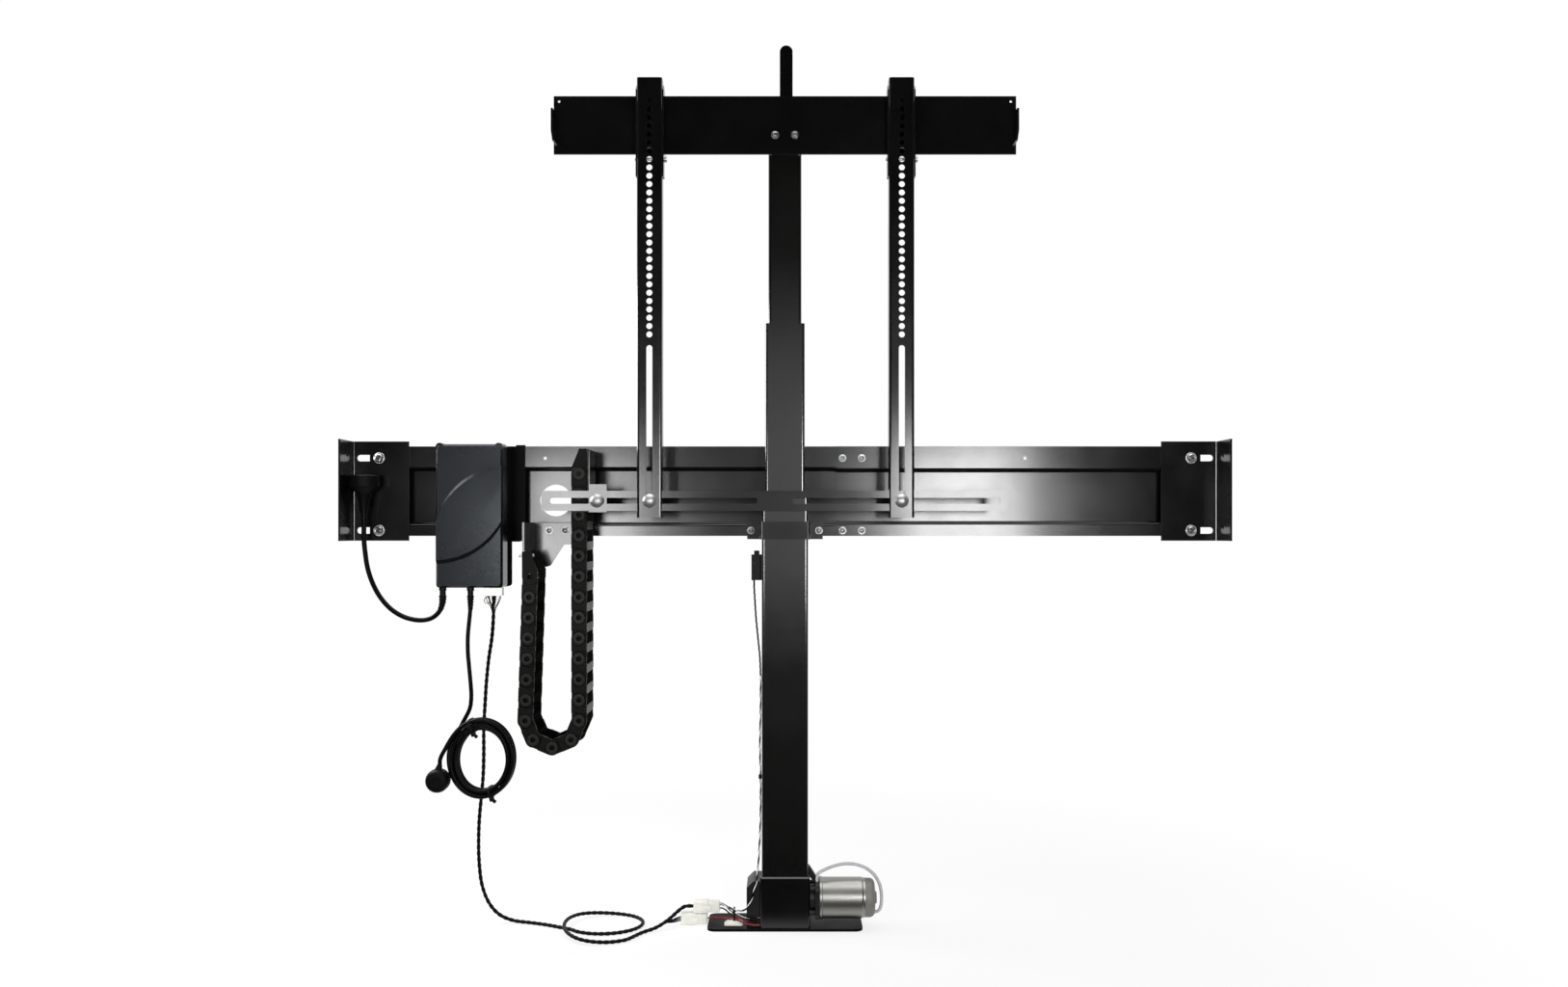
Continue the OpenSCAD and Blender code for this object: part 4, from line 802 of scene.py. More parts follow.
def twisted(path: Sequence[Vector], strands: int, radius: float, lay: float,
            press: float = 1.0) -> list[Shell]:
    """Strands twisted round a path.

    Args:
        path: Centreline, in even steps.
        strands: How many strands.
        radius: Radius of one strand.
        lay: Length in which a strand goes round once.
        press: Share of the strands' own distance at which they lie; less than 1 where they press together.

    Returns:
        One shell for each strand.
    """
    frames, step = carried(path), (path[1] - path[0]).length
    off = press * radius / math.sin(math.pi / strands)
    shells = []
    for k in range(strands):
        line = []
        for i, (p, (u, v)) in enumerate(zip(path, frames)):
            a = 2 * math.pi * (i * step / lay + k / strands)
            line.append(p + off * (u * math.cos(a) + v * math.sin(a)))
        shell = Shell()
        shell.tube(line, radius, STRAND_SIDES)
        shells.append(shell)
    return shells


class Assembly:
    """A sub-assembly of the lift."""

    FINISHES: dict[Finish, str] = {}

    def build(self) -> list[bpy.types.Object]:
        """Makes the sub-assembly's own pieces; one that has only solids makes none."""
        return []

    def dress(self) -> None:
        """Gives the sub-assembly's solids their finishes."""
        for finish, nodes in self.FINISHES.items():
            for node in nodes.split():
                log.info("%s: %s in %s", type(self).__name__, node, finish.name)
                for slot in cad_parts[node].material_slots:
                    slot.material = finish.material()


class Column(Assembly):
    """Three tubes, one in the other, with their glide pads and spindles."""

    FINISHES = {
        SATIN_COAT: "outer_tube middle_tube inner_tube",
        WHITE_NYLON: "outer_glides middle_glides inner_glides",
        GROUND_STEEL: "lower_spindle upper_spindle spindle_bearing upper_bearing",
        BRONZE: "spindle_nut upper_nut",
    }


class CabinetRail(Assembly):
    """The rail in its two halves, the end brackets and the strap round the column."""

    FINISHES = {
        GLOSS_COAT: "rail_left rail_right left_bracket right_bracket column_strap chain_gusset",
        BASE_COAT: "box_mount_plate",
    }


class TvFrame(Assembly):
    """The cross plate, the two arms, the slotted crossbar and the lid arm."""

    FINISHES = {
        GLOSS_COAT: "cross_plate lid_arm left_arm right_arm crossbar chain_bracket",
        DOME_ZINC: "left_arm_bolts right_arm_bolts chain_bracket_bolt",
    }


class Facing(Enum):
    """Ways that a screw's head faces: an axis, and the turn about it in degrees that brings +Z there."""

    FRONT = ("X", 90.0)
    BACK = ("X", -90.0)
    RIGHT = ("Y", 90.0)

    def seat(self, place: Triple) -> Matrix:
        """A head's seat at a place in millimetres."""
        axis, turn = self.value
        return TO_METRES @ Matrix.Translation(place) @ Matrix.Rotation(math.radians(turn), 4, axis)


@dataclass(frozen=True)
class Screw:
    """A socket screw with a flange under its domed head; sizes in millimetres."""

    SIDES: ClassVar[int] = 36
    FLANGE_SHARE: ClassVar[float] = 0.28
    FLANGE_EDGE: ClassVar[float] = 0.35
    CHAMFER: ClassVar[float] = 0.5
    DOME: ClassVar[Outline] = ((0.84, 0.0), (0.82, 0.3), (0.76, 0.65), (0.66, 0.9), (0.56, 1.0))
    RECESS: ClassVar[Outline] = ((0.48, 0.94), (0.44, -0.1), (0.1, -0.4))
    NUT_SHARES: ClassVar[Pair] = (0.92, 0.8)

    head: float
    height: float
    shank: float
    reach: float
    nut: bool = True

    def _round(self, radius: float, level: float) -> list[Vector]:
        """A round ring at a level."""
        return [Vector((x, y, level)) for x, y in circle(radius, self.SIDES)]

    def _hexagon(self, radius: float, level: float) -> list[Vector]:
        """A hexagonal ring with as many points as a round one.

        Args:
            radius: Radius over its corners.
            level: Its level.

        Returns:
            Its points.
        """
        flat, sixth = radius * math.cos(math.pi / 6), math.pi / 3
        ring = []
        for a in (2 * math.pi * k / self.SIDES for k in range(self.SIDES)):
            r = flat / math.cos(a % sixth - sixth / 2)
            ring.append(Vector((r * math.cos(a), r * math.sin(a), level)))
        return ring

    def add(self, shell: Shell, place: Matrix, grip: float) -> None:
        """Adds one screw.

        Args:
            shell: Shell that takes it.
            place: From the screw's own frame, its seat at the origin and Z outwards, to the part's frame.
            grip: Thickness that it holds.
        """
        r, h, bore, flange = self.head / 2, self.height, self.shank / 2, self.height * self.FLANGE_SHARE
        tip, cut, edge = -grip - self.reach, self.CHAMFER, self.FLANGE_EDGE
        turned = [(bore - cut, tip), (bore, tip + cut), (bore, 0), (r, 0), (r, flange - edge),
                  (r - edge, flange)]
        turned += [(r * share, flange + (h - flange) * rise) for share, rise in self.DOME]
        rings = [self._round(*ring) for ring in turned]
        rings += [self._hexagon(r * share, h * level) for share, level in self.RECESS]
        shell.skin([[place @ p for p in ring] for ring in rings])
        if self.nut:
            wide, high = (self.shank * share for share in self.NUT_SHARES)
            sides = ((wide - cut, -grip - high), (wide, cut - grip - high), (wide, -grip))
            shell.skin([[place @ p for p in self._hexagon(*ring)] for ring in sides])


@dataclass
class Fasteners(Assembly):
    """Screws of the rail, the end brackets, the cross plate and the limit switch; sizes in millimetres."""

    small: Screw = Screw(11.6, 5.0, 6.0, 6.0)
    large: Screw = Screw(17.4, 7.0, 8.0, 8.0)
    pan: Screw = Screw(7.0, 2.6, 4.0, 8.0, nut=False)
    tiny: Screw = Screw(2.8, 1.8, 1.4, 1.0, nut=False)
    grip: float = 5.0
    splice_grip: float = 4.0
    bracket_grip: float = 5.2
    levels: Pair = (603.5, 716.5)
    splice: Pair = (90.0, 120.0)
    splice_y: float = 33.0
    low_row: tuple[float, ...] = (-368.0, -343.5, -53.0, 53.0)
    low_row_y: float = 32.0
    bracket: tuple[Pair, ...] = ((-633.0, 31.8), (633.0, 29.8))
    plate: Route = ((-15.0, -28.0, 1202.0), (15.0, -28.0, 1202.0))
    plate_back: Route = ((2.0, 28.0, 1191.0), (2.0, 28.0, 1231.0))
    connector: Route = ((-390.0, -26.0, 564.887), (-390.0, 14.0, 564.887))
    switch: Route = ((-46.0, -18.0, 541.0), (-46.0, -18.0, 554.0))

    def build(self) -> list[bpy.types.Object]:
        """Makes the four groups of screws.

        Returns:
            The pieces.
        """
        splice = [(x, self.splice_y, z) for z in self.levels for x in self.splice]
        low_row = [(x, self.low_row_y, self.levels[0]) for x in self.low_row]
        bracket = [(x, y, z) for z in self.levels for x, y in self.bracket]
        groups = (
            ("switch_screws", None, Body.ROOT, [(self.tiny, self.switch, Facing.FRONT, 0.0)]),
            ("rail_screws", "rail_bolts", Body.ROOT, [
                (self.small, splice, Facing.FRONT, self.splice_grip),
                (self.small, low_row, Facing.FRONT, self.grip),
                (self.pan, self.connector, Facing.RIGHT, self.grip)]),
            ("bracket_screws", "bracket_bolts", Body.ROOT, [
                (self.large, bracket, Facing.FRONT, self.bracket_grip)]),
            ("plate_screws", "plate_bolts", Body.INNER, [
                (self.small, self.plate, Facing.FRONT, self.grip),
                (self.small, self.plate_back, Facing.BACK, self.grip)]),
        )
        pieces = []
        for name, node, body, rows in groups:
            shell = Shell()
            for screw, places, facing, grip in rows:
                for place in places:
                    screw.add(shell, facing.seat(place), grip)
            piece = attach(shell.piece(name, ZINC, Slot.ZINC), body.value)
            pieces.append(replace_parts(piece, node) if node else piece)
        return pieces


@dataclass
class CableChain(Assembly):
    """Links of the cable chain, made alike for its two runs and its bend; sizes in millimetres."""

    FINISHES = {LINK_PLASTIC: "chain_fixed_end chain_moving_end"}

    pitch: float = 31.0
    height: float = 23.0
    width: float = 70.0
    cheek: float = 3.0
    gap: float = 0.3
    room: float = 0.6
    edge: float = 0.45
    taper: float = 0.2
    boss: float = 19.0
    boss_rise: float = 0.6
    boss_edge: float = 0.35
    groove: float = 1.5
    groove_depth: float = 2.0
    groove_draft: float = 0.3
    rub_margins: Pair = (0.6, 0.7)
    rub_levels: Triple = (-0.2, 0.05, 0.1)
    hole: float = 8.6
    pin: float = 8.0
    pin_reach: float = 7.0
    end_pin_reach: float = 9.0
    end_pin_edge: float = 0.3
    recess: float = 6.7
    recess_edge: float = 0.5
    waist_room: float = 0.7
    waist_corner: float = 0.8
    waist_sink: float = 0.05
    rib: Triple = (13.0, 1.2, 0.4)
    rib_span: Pair = (-0.2, 0.5)
    rib_edge: float = 0.25
    rib_places: Pair = (-1.9, 1.7)
    bar: float = 3.0
    bar_corner: float = 1.0
    bar_bite: float = 0.5
    bar_edge: float = 0.3
    face_height: float = 13.0
    face_rise: float = 0.1
    face_corner: float = 0.7
    face_edge: float = 0.5
    sides: int = 32
    sharp: float = 30.0
    middle_y: float = -6.0
    top_x: float = -384.0
    left_x: float = -391.0
    bend_z: float = 317.0
    bend_turns: tuple[float, ...] = (157.5, 112.5, 67.5, 22.5)
    fixed_links: int = 7
    moving_links: int = 12

    def bend_pins(self) -> list[Pair]:
        """Places of the bend's pins.

        Returns:
            X and Z of each, from the fixed run to the moving one.
        """
        pins = [(self.left_x, self.bend_z)]
        for turn in map(math.radians, self.bend_turns):
            x, z = pins[-1]
            pins.append((x + self.pitch * math.sin(turn), z + self.pitch * math.cos(turn)))
        return pins

    def _rays(self, stop: float) -> list[float]:
        """Directions round a pin.

        Args:
            stop: How far the cheek runs straight from the pin.

        Returns:
            Their angles, those of the cheek's two corners among them.
        """
        corner = math.atan2(stop, self.height / 2)
        even = [2 * math.pi * k / self.sides for k in range(self.sides)]
        return sorted([*even, corner, math.pi - corner])

    def _cheek(self, inset: float, stop: float) -> Outline:
        """A cheek's outline: round below its pin and straight up to a stop.

        Args:
            inset: How far it stands back from the full outline.
            stop: How far it runs straight from the pin.

        Returns:
            The outline about the pin.
        """
        r = self.height / 2 - inset
        points = []
        for a in self._rays(stop):
            x, y = math.cos(a), math.sin(a)
            reach = r if y <= 0 else min(r / max(abs(x), 1e-6), (stop - inset) / y)
            points.append((x * reach, y * reach))
        return points

    def _add_cheek(self, shell: Shell, place: Matrix, span: Pair, stop: float, outer: bool) -> None:
        """Adds one cheek.

        Args:
            shell: Shell that takes it.
            place: From the cheek's plane, with the pin in its middle, to the part's frame.
            span: Heights of its inner and its outer face.
            stop: How far it runs straight from the pin.
            outer: Whether it is an outer cheek, with a boss and a hollow pin, or an inner one with a hole.
        """
        low, high = span
        rays = self._rays(stop)

        def ring(radius: float, level: float) -> list[Vector]:
            """A round ring about the pin."""
            return [place @ Vector((radius * math.cos(a), radius * math.sin(a), level)) for a in rays]

        levels = ((low, self.edge), (low + self.edge, 0), (high - self.edge, 0), (high, self.edge))
        skirt = [[place @ Vector((x, y, level)) for x, y in self._cheek(inset, stop)]
                 for level, inset in levels]
        if not outer:
            bore = self.hole / 2
            shell.skin([*skirt, ring(bore, high), ring(bore, low), skirt[0]], caps=False)
            return
        pin, boss, recess = self.pin / 2, self.boss / 2, self.recess / 2
        top, floor, sunk = high + self.boss_rise, high - self.pin_reach, high - self.groove_depth
        groove, rim, wall = boss + self.groove, self.boss_edge, self.recess_edge
        shell.skin([
            ring(pin, floor - wall), ring(pin, low), *skirt,
            ring(groove, high), ring(groove - self.groove_draft, sunk), ring(boss, sunk),
            ring(boss, top - rim), ring(boss - rim, top), ring(recess + wall, top), ring(recess, top - wall),
            ring(recess - self.taper, floor),
        ])

    def _add_boss(self, shell: Shell, place: Matrix, high: float) -> None:
        """Adds the rubbed ring on an outer cheek's boss.

        Args:
            shell: Shell that takes it.
            place: From the cheek's plane, with the pin in its middle, to the part's frame.
            high: Height of the cheek's outer face.
        """
        top, cut = high + self.boss_rise, self.taper
        outer, inner = self.boss / 2 - self.rub_margins[0], self.recess / 2 + self.rub_margins[1]
        under, side, over = self.rub_levels
        section = ((outer, under), (outer, side), (outer - cut, over), (inner + cut, over), (inner, side),
                   (inner, under), (outer, under))
        shell.skin([[place @ Vector((x, y, top + h)) for x, y in circle(r, self.sides)] for r, h in section],
                   caps=False)

    def _add_pins(self, shell: Shell, x: float, z: float) -> None:
        """Adds the hollow pins in the upper end's cheeks.

        Args:
            shell: Shell that takes them.
            x: Their place.
            z: Their height.
        """
        place = TO_METRES @ Matrix.Translation((x, self.middle_y, z))
        half, pin, recess, reach = self.width / 2, self.pin / 2, self.recess / 2, self.end_pin_reach
        profile = [(pin, half - reach - self.recess_edge), (pin, half + self.taper),
                   (pin - self.end_pin_edge, half + self.recess_edge), (recess, half + self.taper),
                   (recess - self.taper, half - reach)]
        for side in (1, -1):
            shell.turned(profile, place @ Matrix.Rotation(-side * math.pi / 2, 4, "X"))

    def add_link(self, body: Shell, bosses: Shell, bars: Shell, x: float, z: float, turn: float) -> None:
        """Adds one link, which runs from its first pin to its second.

        Args:
            body: Shell that takes the link's cheeks.
            bosses: Shell that takes the rubbed faces of its bosses.
            bars: Shell that takes the faces of its tie bars.
            x: Place of its first pin.
            z: Height of its first pin.
            turn: Angle in degrees from straight up.
        """
        place = (TO_METRES @ Matrix.Translation((x, self.middle_y, z))
                 @ Matrix.Rotation(math.radians(turn), 4, "Y"))
        half, start = self.width / 2, self.height / 2 + self.room
        stop = self.pitch - start
        inner, outer, waist = half - 2 * self.cheek - self.gap, half - self.cheek, stop - start
        for side in (1, -1):
            # The axes of an outline are X and Z of the link, and it is extruded outwards along Y.
            face = place @ Matrix(((1, 0, 0, 0), (0, 0, side, 0), (0, 1, 0, 0), (0, 0, 0, 1)))
            far = face @ Matrix.Translation((0, self.pitch, 0)) @ Matrix.Rotation(math.pi, 4, "Z")
            self._add_cheek(body, face, (inner, inner + self.cheek), stop, outer=False)
            self._add_cheek(body, far, (outer, half), stop, outer=True)
            self._add_boss(bosses, far, half)
            mid = face @ Matrix.Translation((0, self.pitch / 2, 0))
            body.bar((self.height - self.waist_room, waist, self.waist_corner),
                     (inner, half - self.waist_sink), self.edge, mid)
            for shift in self.rib_places:
                body.bar(self.rib, (half + self.rib_span[0], half + self.rib_span[1]), self.rib_edge,
                         mid @ Matrix.Translation((0, shift, 0)))
            at_bar = Vector((side * (self.height / 2 - self.bar / 2), 0, self.pitch / 2))
            along = place @ Matrix.Translation(at_bar) @ Matrix.Rotation(-math.pi / 2, 4, "X")
            reach, shown = inner + self.bar_bite, inner - self.gap
            body.bar((self.bar, waist, self.bar_corner), (-reach, reach), self.bar_edge, along)
            bars.bar((self.bar + self.face_rise, self.face_height, self.face_corner), (-shown, shown),
                     self.face_edge, along)

    def build(self) -> list[bpy.types.Object]:
        """Makes the two runs and the bend, which rides on the chain loop.

        Returns:
            The three pieces.
        """
        pins = self.bend_pins()
        right_x = pins[-1][0]
        lean = math.asin((self.top_x - self.left_x) / (self.fixed_links * self.pitch))
        aside, down = self.pitch * math.sin(lean), self.pitch * math.cos(lean)
        top, end = self.bend_z + self.fixed_links * down, self.bend_z + self.moving_links * self.pitch
        runs = {
            "chain_links_fixed": [(self.top_x - i * aside, top - i * down, 180.0 + math.degrees(lean))
                                  for i in range(self.fixed_links)],
            "chain_links_moving": [(right_x, self.bend_z + i * self.pitch, 0.0)
                                   for i in range(self.moving_links)],
            "chain_links_bend": [(*pin, turn) for pin, turn in zip(pins, self.bend_turns)],
        }
        pieces = []
        for name, links in runs.items():
            body, bosses, bars = Shell(), Shell(), Shell()
            for link in links:
                self.add_link(body, bosses, bars, *link)
            if name == "chain_links_fixed":
                self._add_pins(body, self.top_x, top)
            piece = merged([body, bosses, bars]).piece(name, LINK_PLASTIC, Slot.BLACK_PLASTIC, self.sharp)
            first, second = len(body.faces), len(body.faces) + len(bosses.faces)
            repaint(piece, BOSS_PLASTIC, piece.data.polygons[first:second])
            # The moving run's bars take painted light, the fixed run's and the bend's painted shade.
            repaint(piece, LIT_BAR_PLASTIC if name == "chain_links_moving" else SHADE_PLASTIC,
                    piece.data.polygons[second:])
            pieces.append(piece)
        fixed, moving, bend = pieces
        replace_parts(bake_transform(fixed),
                    "chain_fixed_run")
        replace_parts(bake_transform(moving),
                    "chain_moving_run")
        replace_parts(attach(bend, Body.CHAIN_LOOP.value), "chain_bend")
        return pieces


@dataclass
class StrainRelief:
    """A tapered, ringed sleeve where a lead leaves its gland; sizes in millimetres."""

    length: float = 22.0
    step: float = 0.55
    wall: float = 0.5
    flare: float = 1.6
    grooves: int = 5
    groove_depth: float = 0.7
    groove_from: float = 0.72
    grooves_end: float = 0.96
    sides: int = 20

    def build(self, name: str, path: Sequence[Vector], diameter: float) -> bpy.types.Object:
        """Makes the sleeve.

        Args:
            name: Its name.
            path: The lead's centreline in metres, from the gland on.
            diameter: The lead's diameter.

        Returns:
            The sleeve.
        """
        line = spaced(path, self.step * MM)[:round(self.length / self.step)]
        radii = []
        for i in range(len(line)):
            share = i / (len(line) - 1)
            grooved = (share * self.grooves) % 1.0 > self.groove_from and share < self.grooves_end
            wide = diameter / 2 + self.flare * (1 - share) + self.wall
            radii.append((wide - (self.groove_depth if grooved else 0.0)) * MM)
        shell = Shell()
        shell.tube(line, radii, self.sides)
        return shell.piece(name, PLUG_RUBBER, Slot.PLUG_RUBBER)


@dataclass
class MainsLead(Assembly):
    """The lead from the control box with its coil and its plug; sizes in millimetres."""

    diameter: float = 6.4
    turn_gap: float = 0.7
    length: float = 2706.0
    route: Route = (
        (-476, -28, 505), (-476, -28, 488), (-478, -28, 466), (-480, -28, 444), (-480, -28, 420),
        (-478, -28, 396), (-476, -28, 374), (-475.5, -25, 353), (-479, -20, 333),
    )
    tail: Route = ((-506, -38.7, 284.5), (-511.8, -38.6, 274), (-517, -38, 265))
    plug_top: Triple = (-520, -37, 250)
    plug_middle: Triple = (-523.5, -37, 226.5)
    middle: Triple = (-458.5, -28, 258.5)
    half_width: float = 51.0
    half_height: float = 60.0
    turns: int = 8
    layer_turns: int = 2
    start: float = 140.0
    rings: int = 24
    smoothing: int = 3
    plug_width: float = 35.0
    plug_depth: float = 22.0
    plug_sides: int = 56
    plug_sharp: float = 40.0
    # The plug's profile: inset from its rim, and distance from its front or, at the rear, from its back.
    plug_front: tuple[Pair, ...] = (
        (12.0, 0.6), (11.5, 0.0), (7.0, 0.0), (4.6, 0.5), (2.6, 1.8), (1.4, 3.4), (0.6, 5.4), (0.15, 7.6),
    )
    plug_rear: tuple[Pair, ...] = ((0.1, 4.0), (0.7, 3.7), (0.7, 2.7), (0.1, 2.4), (0.1, 1.0), (1.0, 0.0))
    grips: int = 28
    grip: Triple = (8.4, 1.5, 0.6)
    grip_rise: float = 1.35
    grip_edge: float = 0.35
    grip_sink: float = 1.0
    grip_shift: float = -0.3
    neck_width: float = 13.0
    neck_wall: float = 0.9
    neck_flare: float = 1.4
    neck_bite: float = 4.5
    neck_rings: int = 4
    neck_steps: int = 40
    neck_sides: int = 20
    groove_depth: float = 0.55
    groove_from: float = 0.7
    grooves_end: float = 0.8
    pin_width: float = 4.8
    pin_gap: float = 19.0
    pin_length: float = 12.0
    pin_root: float = 1.0
    pin_tip: tuple[Pair, ...] = ((1.0, 1.4), (0.8, 0.4), (0.4, 0.0))
    # Angle of each tie round the coil in degrees, and the side of its head: 1 outside, -1 inside.
    ties_at: tuple[tuple[float, int], ...] = ((110.0, -1), (288.0, 1))
    tie_head: float = 7.0
    tie_slim: float = 0.6
    tie_corner: float = 1.2
    tie_edge: float = 0.6
    tie_bite: float = 1.0
    tie_wall: float = 1.2
    tie_half: float = 2.1
    tie_stub: Triple = (5.0, 2.2, 0.5)
    tie_stub_reach: float = 8.0
    tie_stub_edge: float = 0.3
    tie_stub_off: float = 1.0
    tie_stub_lean: float = 35.0

    def coil_at(self, u: float) -> Vector:
        """Point of the coil, which winds in and out again and climbs a layer where it turns back.

        Args:
            u: Turns from the coil's start.

        Returns:
            The point.
        """
        step, layers = self.diameter + self.turn_gap, self.turns // self.layer_turns
        v = u % (2 * self.layer_turns)
        inward = min(v, 2 * self.layer_turns - v) * step
        k = math.floor(u / self.layer_turns + 0.5)
        climb = max(-0.5, min(0.5, 2 * (u - k * self.layer_turns)))
        level = 0.0 if k <= 0 else layers - 1.0 if k >= layers else k - 0.5 + climb
        a = math.radians(self.start + 360 * u)
        return Vector(self.middle) + Vector((
            (self.half_width - inward) * math.cos(a), ((layers - 1) / 2 - level) * step,
            (self.half_height - inward) * math.sin(a)))

    def path(self) -> list[Vector]:
        """Centreline from the gland to the plug.

        Returns:
            Its points in metres.
        """
        loops = [self.coil_at(i / self.rings) for i in range(self.turns * self.rings + 1)]
        lead = (loops[0] - loops[1]).normalized()
        join = loops[0] + lead * self.diameter
        end = Vector(self.plug_top)
        points = [*map(Vector, self.route), join + lead * 2 * self.diameter, join, *loops,
                  *map(Vector, self.tail), end + Vector((0, 0, self.diameter)), end]
        return [p * MM for p in smoothed(points, self.smoothing)]

    def plug(self) -> list[bpy.types.Object]:
        """Makes the plug, whose cord comes in from the side.

        Returns:
            Its moulded body, and its pins at the back.
        """
        place = TO_METRES @ Matrix.Translation(self.plug_middle) @ Matrix.Rotation(-math.pi / 2, 4, "X")
        r, h = self.plug_width / 2, self.plug_depth / 2
        body, pins = Shell(), Shell()
        profile = [(r - inset, -h + rise) for inset, rise in self.plug_front]
        profile += [(r - inset, h - sink) for inset, sink in self.plug_rear]
        body.turned(profile, place, self.plug_sides)
        foot = (Matrix.Translation((r - self.grip_sink, 0, self.grip_shift))
                @ Matrix.Rotation(math.pi / 2, 4, "Y"))
        for k in range(self.grips):
            turn = Matrix.Rotation(2 * math.pi * k / self.grips, 4, "Z")
            body.bar(self.grip, (0.0, self.grip_rise), self.grip_edge, place @ turn @ foot)
        self._add_neck(body, Vector(self.plug_middle) + Vector((0, 0, r - self.neck_bite)))
        pin, reach = self.pin_width / 2, self.pin_length
        profile = [(pin, -self.pin_root), *((pin * share, reach - back) for share, back in self.pin_tip)]
        for side in (-1, 1):
            pins.turned(profile, place @ Matrix.Translation((side * self.pin_gap / 2, 0, h)))
        made = body.piece("mains_plug_body", PLUG_RUBBER, Slot.PLUG_RUBBER, self.plug_sharp)
        return [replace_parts(made, "mains_plug"), pins.piece("mains_plug_pins", NICKEL, Slot.ZINC)]

    def _add_neck(self, body: Shell, root: Vector) -> None:
        """Adds the plug's grooved neck, which tapers towards the cord.

        Args:
            body: Shell that takes it.
            root: Where it ends inside the plug.
        """
        top = Vector(self.plug_top)
        shares = [k / self.neck_steps for k in range(self.neck_steps + 1)]
        slim, wide = self.diameter / 2 + self.neck_wall, self.neck_width / 2
        radii = []
        for share in shares:
            grooved = (share * self.neck_rings) % 1 > self.groove_from and share < self.grooves_end
            full = slim + (wide - slim) * share ** self.neck_flare
            radii.append((full - (self.groove_depth if grooved else 0)) * MM)
        body.tube([top.lerp(root, share) * MM for share in shares], radii, self.neck_sides)

    def ties(self) -> bpy.types.Object:
        """Makes the ties round the coil, each a band with its head and a short cut tail.

        Returns:
            The ties as one piece.
        """
        shell = Shell()
        hub, head, half = Vector(self.middle), self.tie_head, self.tie_half
        for angle, side in self.ties_at:
            first = ((angle - self.start) / 360) % 1.0
            turns = [self.coil_at(first + k) - hub for k in range(self.turns)]
            way = Vector((turns[0].x, 0, turns[0].z)).normalized()
            offs, depths = [p.dot(way) for p in turns], [p.y for p in turns]
            across, deep = (max(spread) - min(spread) + self.diameter for spread in (offs, depths))
            centre = hub + way * (max(offs) + min(offs)) / 2 + Vector((0, (max(depths) + min(depths)) / 2, 0))
            radial = way * side
            along = Vector((-radial.z, 0, radial.x))
            turn = Matrix((along, (0, -1, 0), radial)).transposed().to_4x4()
            middle = centre + radial * (across / 2 + head / 2 - self.tie_bite) - Vector((0, deep / 4, 0))
            place = TO_METRES @ Matrix.Translation(middle) @ turn
            shell.bar((head, head - self.tie_slim, self.tie_corner), (-head / 2, head / 2), self.tie_edge,
                      place)
            skins = [rounded(across + 2 * t, deep + 2 * t, self.diameter / 2 + t)
                     for t in (0.0, self.tie_wall)]
            band = [[(centre + radial * u + Vector((0, v, 0)) + along * w) * MM
                     for (u, v), w in ((inner, -half), (outer, -half), (outer, half), (inner, half))]
                    for inner, outer in zip(*skins)]
            shell.skin([*band, band[0]], caps=False)
            tail = (place @ Matrix.Translation((0, self.tie_stub_off, 0))
                    @ Matrix.Rotation(math.radians(self.tie_stub_lean), 4, "Y"))
            shell.bar(self.tie_stub, (0.0, self.tie_stub_reach), self.tie_stub_edge, tail)
        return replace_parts(shell.piece("coil_ties", TRIM_PLASTIC, Slot.BLACK_PLASTIC), "cable_ties")

    def build(self) -> list[bpy.types.Object]:
        """Makes the lead, its strain relief, its plug and the coil's ties.

        Returns:
            The pieces, all on the fixed body.
        """
        path = self.path()
        cord = cord_curve("mains_cord", path, self.diameter * MM, SHEATH)
        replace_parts(cord, "mains_lead", "mains_coil")
        on_it = [StrainRelief().build("mains_strain_relief", path, self.diameter), *self.plug(), self.ties()]
        for piece in (cord, *on_it):
            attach(piece, Body.ROOT.value)
        return [cord, *on_it]


@dataclass
class SocketLead(Assembly):
    """The short lead from the control box to the socket on the left bracket; sizes in millimetres."""

    FINISHES = {PLUG_RUBBER: "socket_coupler"}

    diameter: float = 7.4
    length: float = 275.0
    sides: int = 16
    sharp: float = 50.0
    route: Route = (
        (-518, -28, 505), (-518, -28, 497), (-522.5, -27, 482.5), (-533.5, -25, 472), (-548, -22, 467.5),
        (-565, -18.5, 468), (-584, -13.5, 473), (-603, -9, 484), (-620, -4, 501), (-633, 0, 522),
        (-642, 3, 546), (-647, 6, 572), (-649, 7, 592), (-649.5, 8.6, 612), (-649.5, 8.6, 630),
    )

    def build(self) -> list[bpy.types.Object]:
        """Makes the lead, which follows the bracket, and its strain relief.

        Returns:
            Both pieces.
        """
        path = smoothed(mm(self.route))
        shell = Shell()
        shell.tube(path, self.diameter * MM / 2, self.sides)
        cord = shell.piece("socket_cord", SHEATH, Slot.BLACK_CABLE, self.sharp)
        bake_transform(cord)
        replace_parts(cord, "socket_lead")
        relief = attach(StrainRelief().build("socket_strain_relief", path, self.diameter), Body.ROOT.value)
        return [cord, relief]


@dataclass(frozen=True)
class BlockPart:
    """A part of a plug block; its sizes and shifts are shares of the block's own size plus millimetres."""

    share: Triple
    plus: Triple
    shift: Triple
    shift_plus: Triple
    corner: float
    chamfer: float
    axis: str = "X"

    def add(self, shell: Shell, block: Triple, middle: Vector) -> None:
        """Adds the part.

        Args:
            shell: Shell that takes it.
            block: Size of the plug block.
            middle: Middle of the plug block.
        """
        size = tuple(whole * share + plus for whole, share, plus in zip(block, self.share, self.plus))
        off = [whole * share + plus for whole, share, plus in zip(block, self.shift, self.shift_plus)]
        shell.block(size, middle + Vector(off), self.corner, self.chamfer, self.axis)


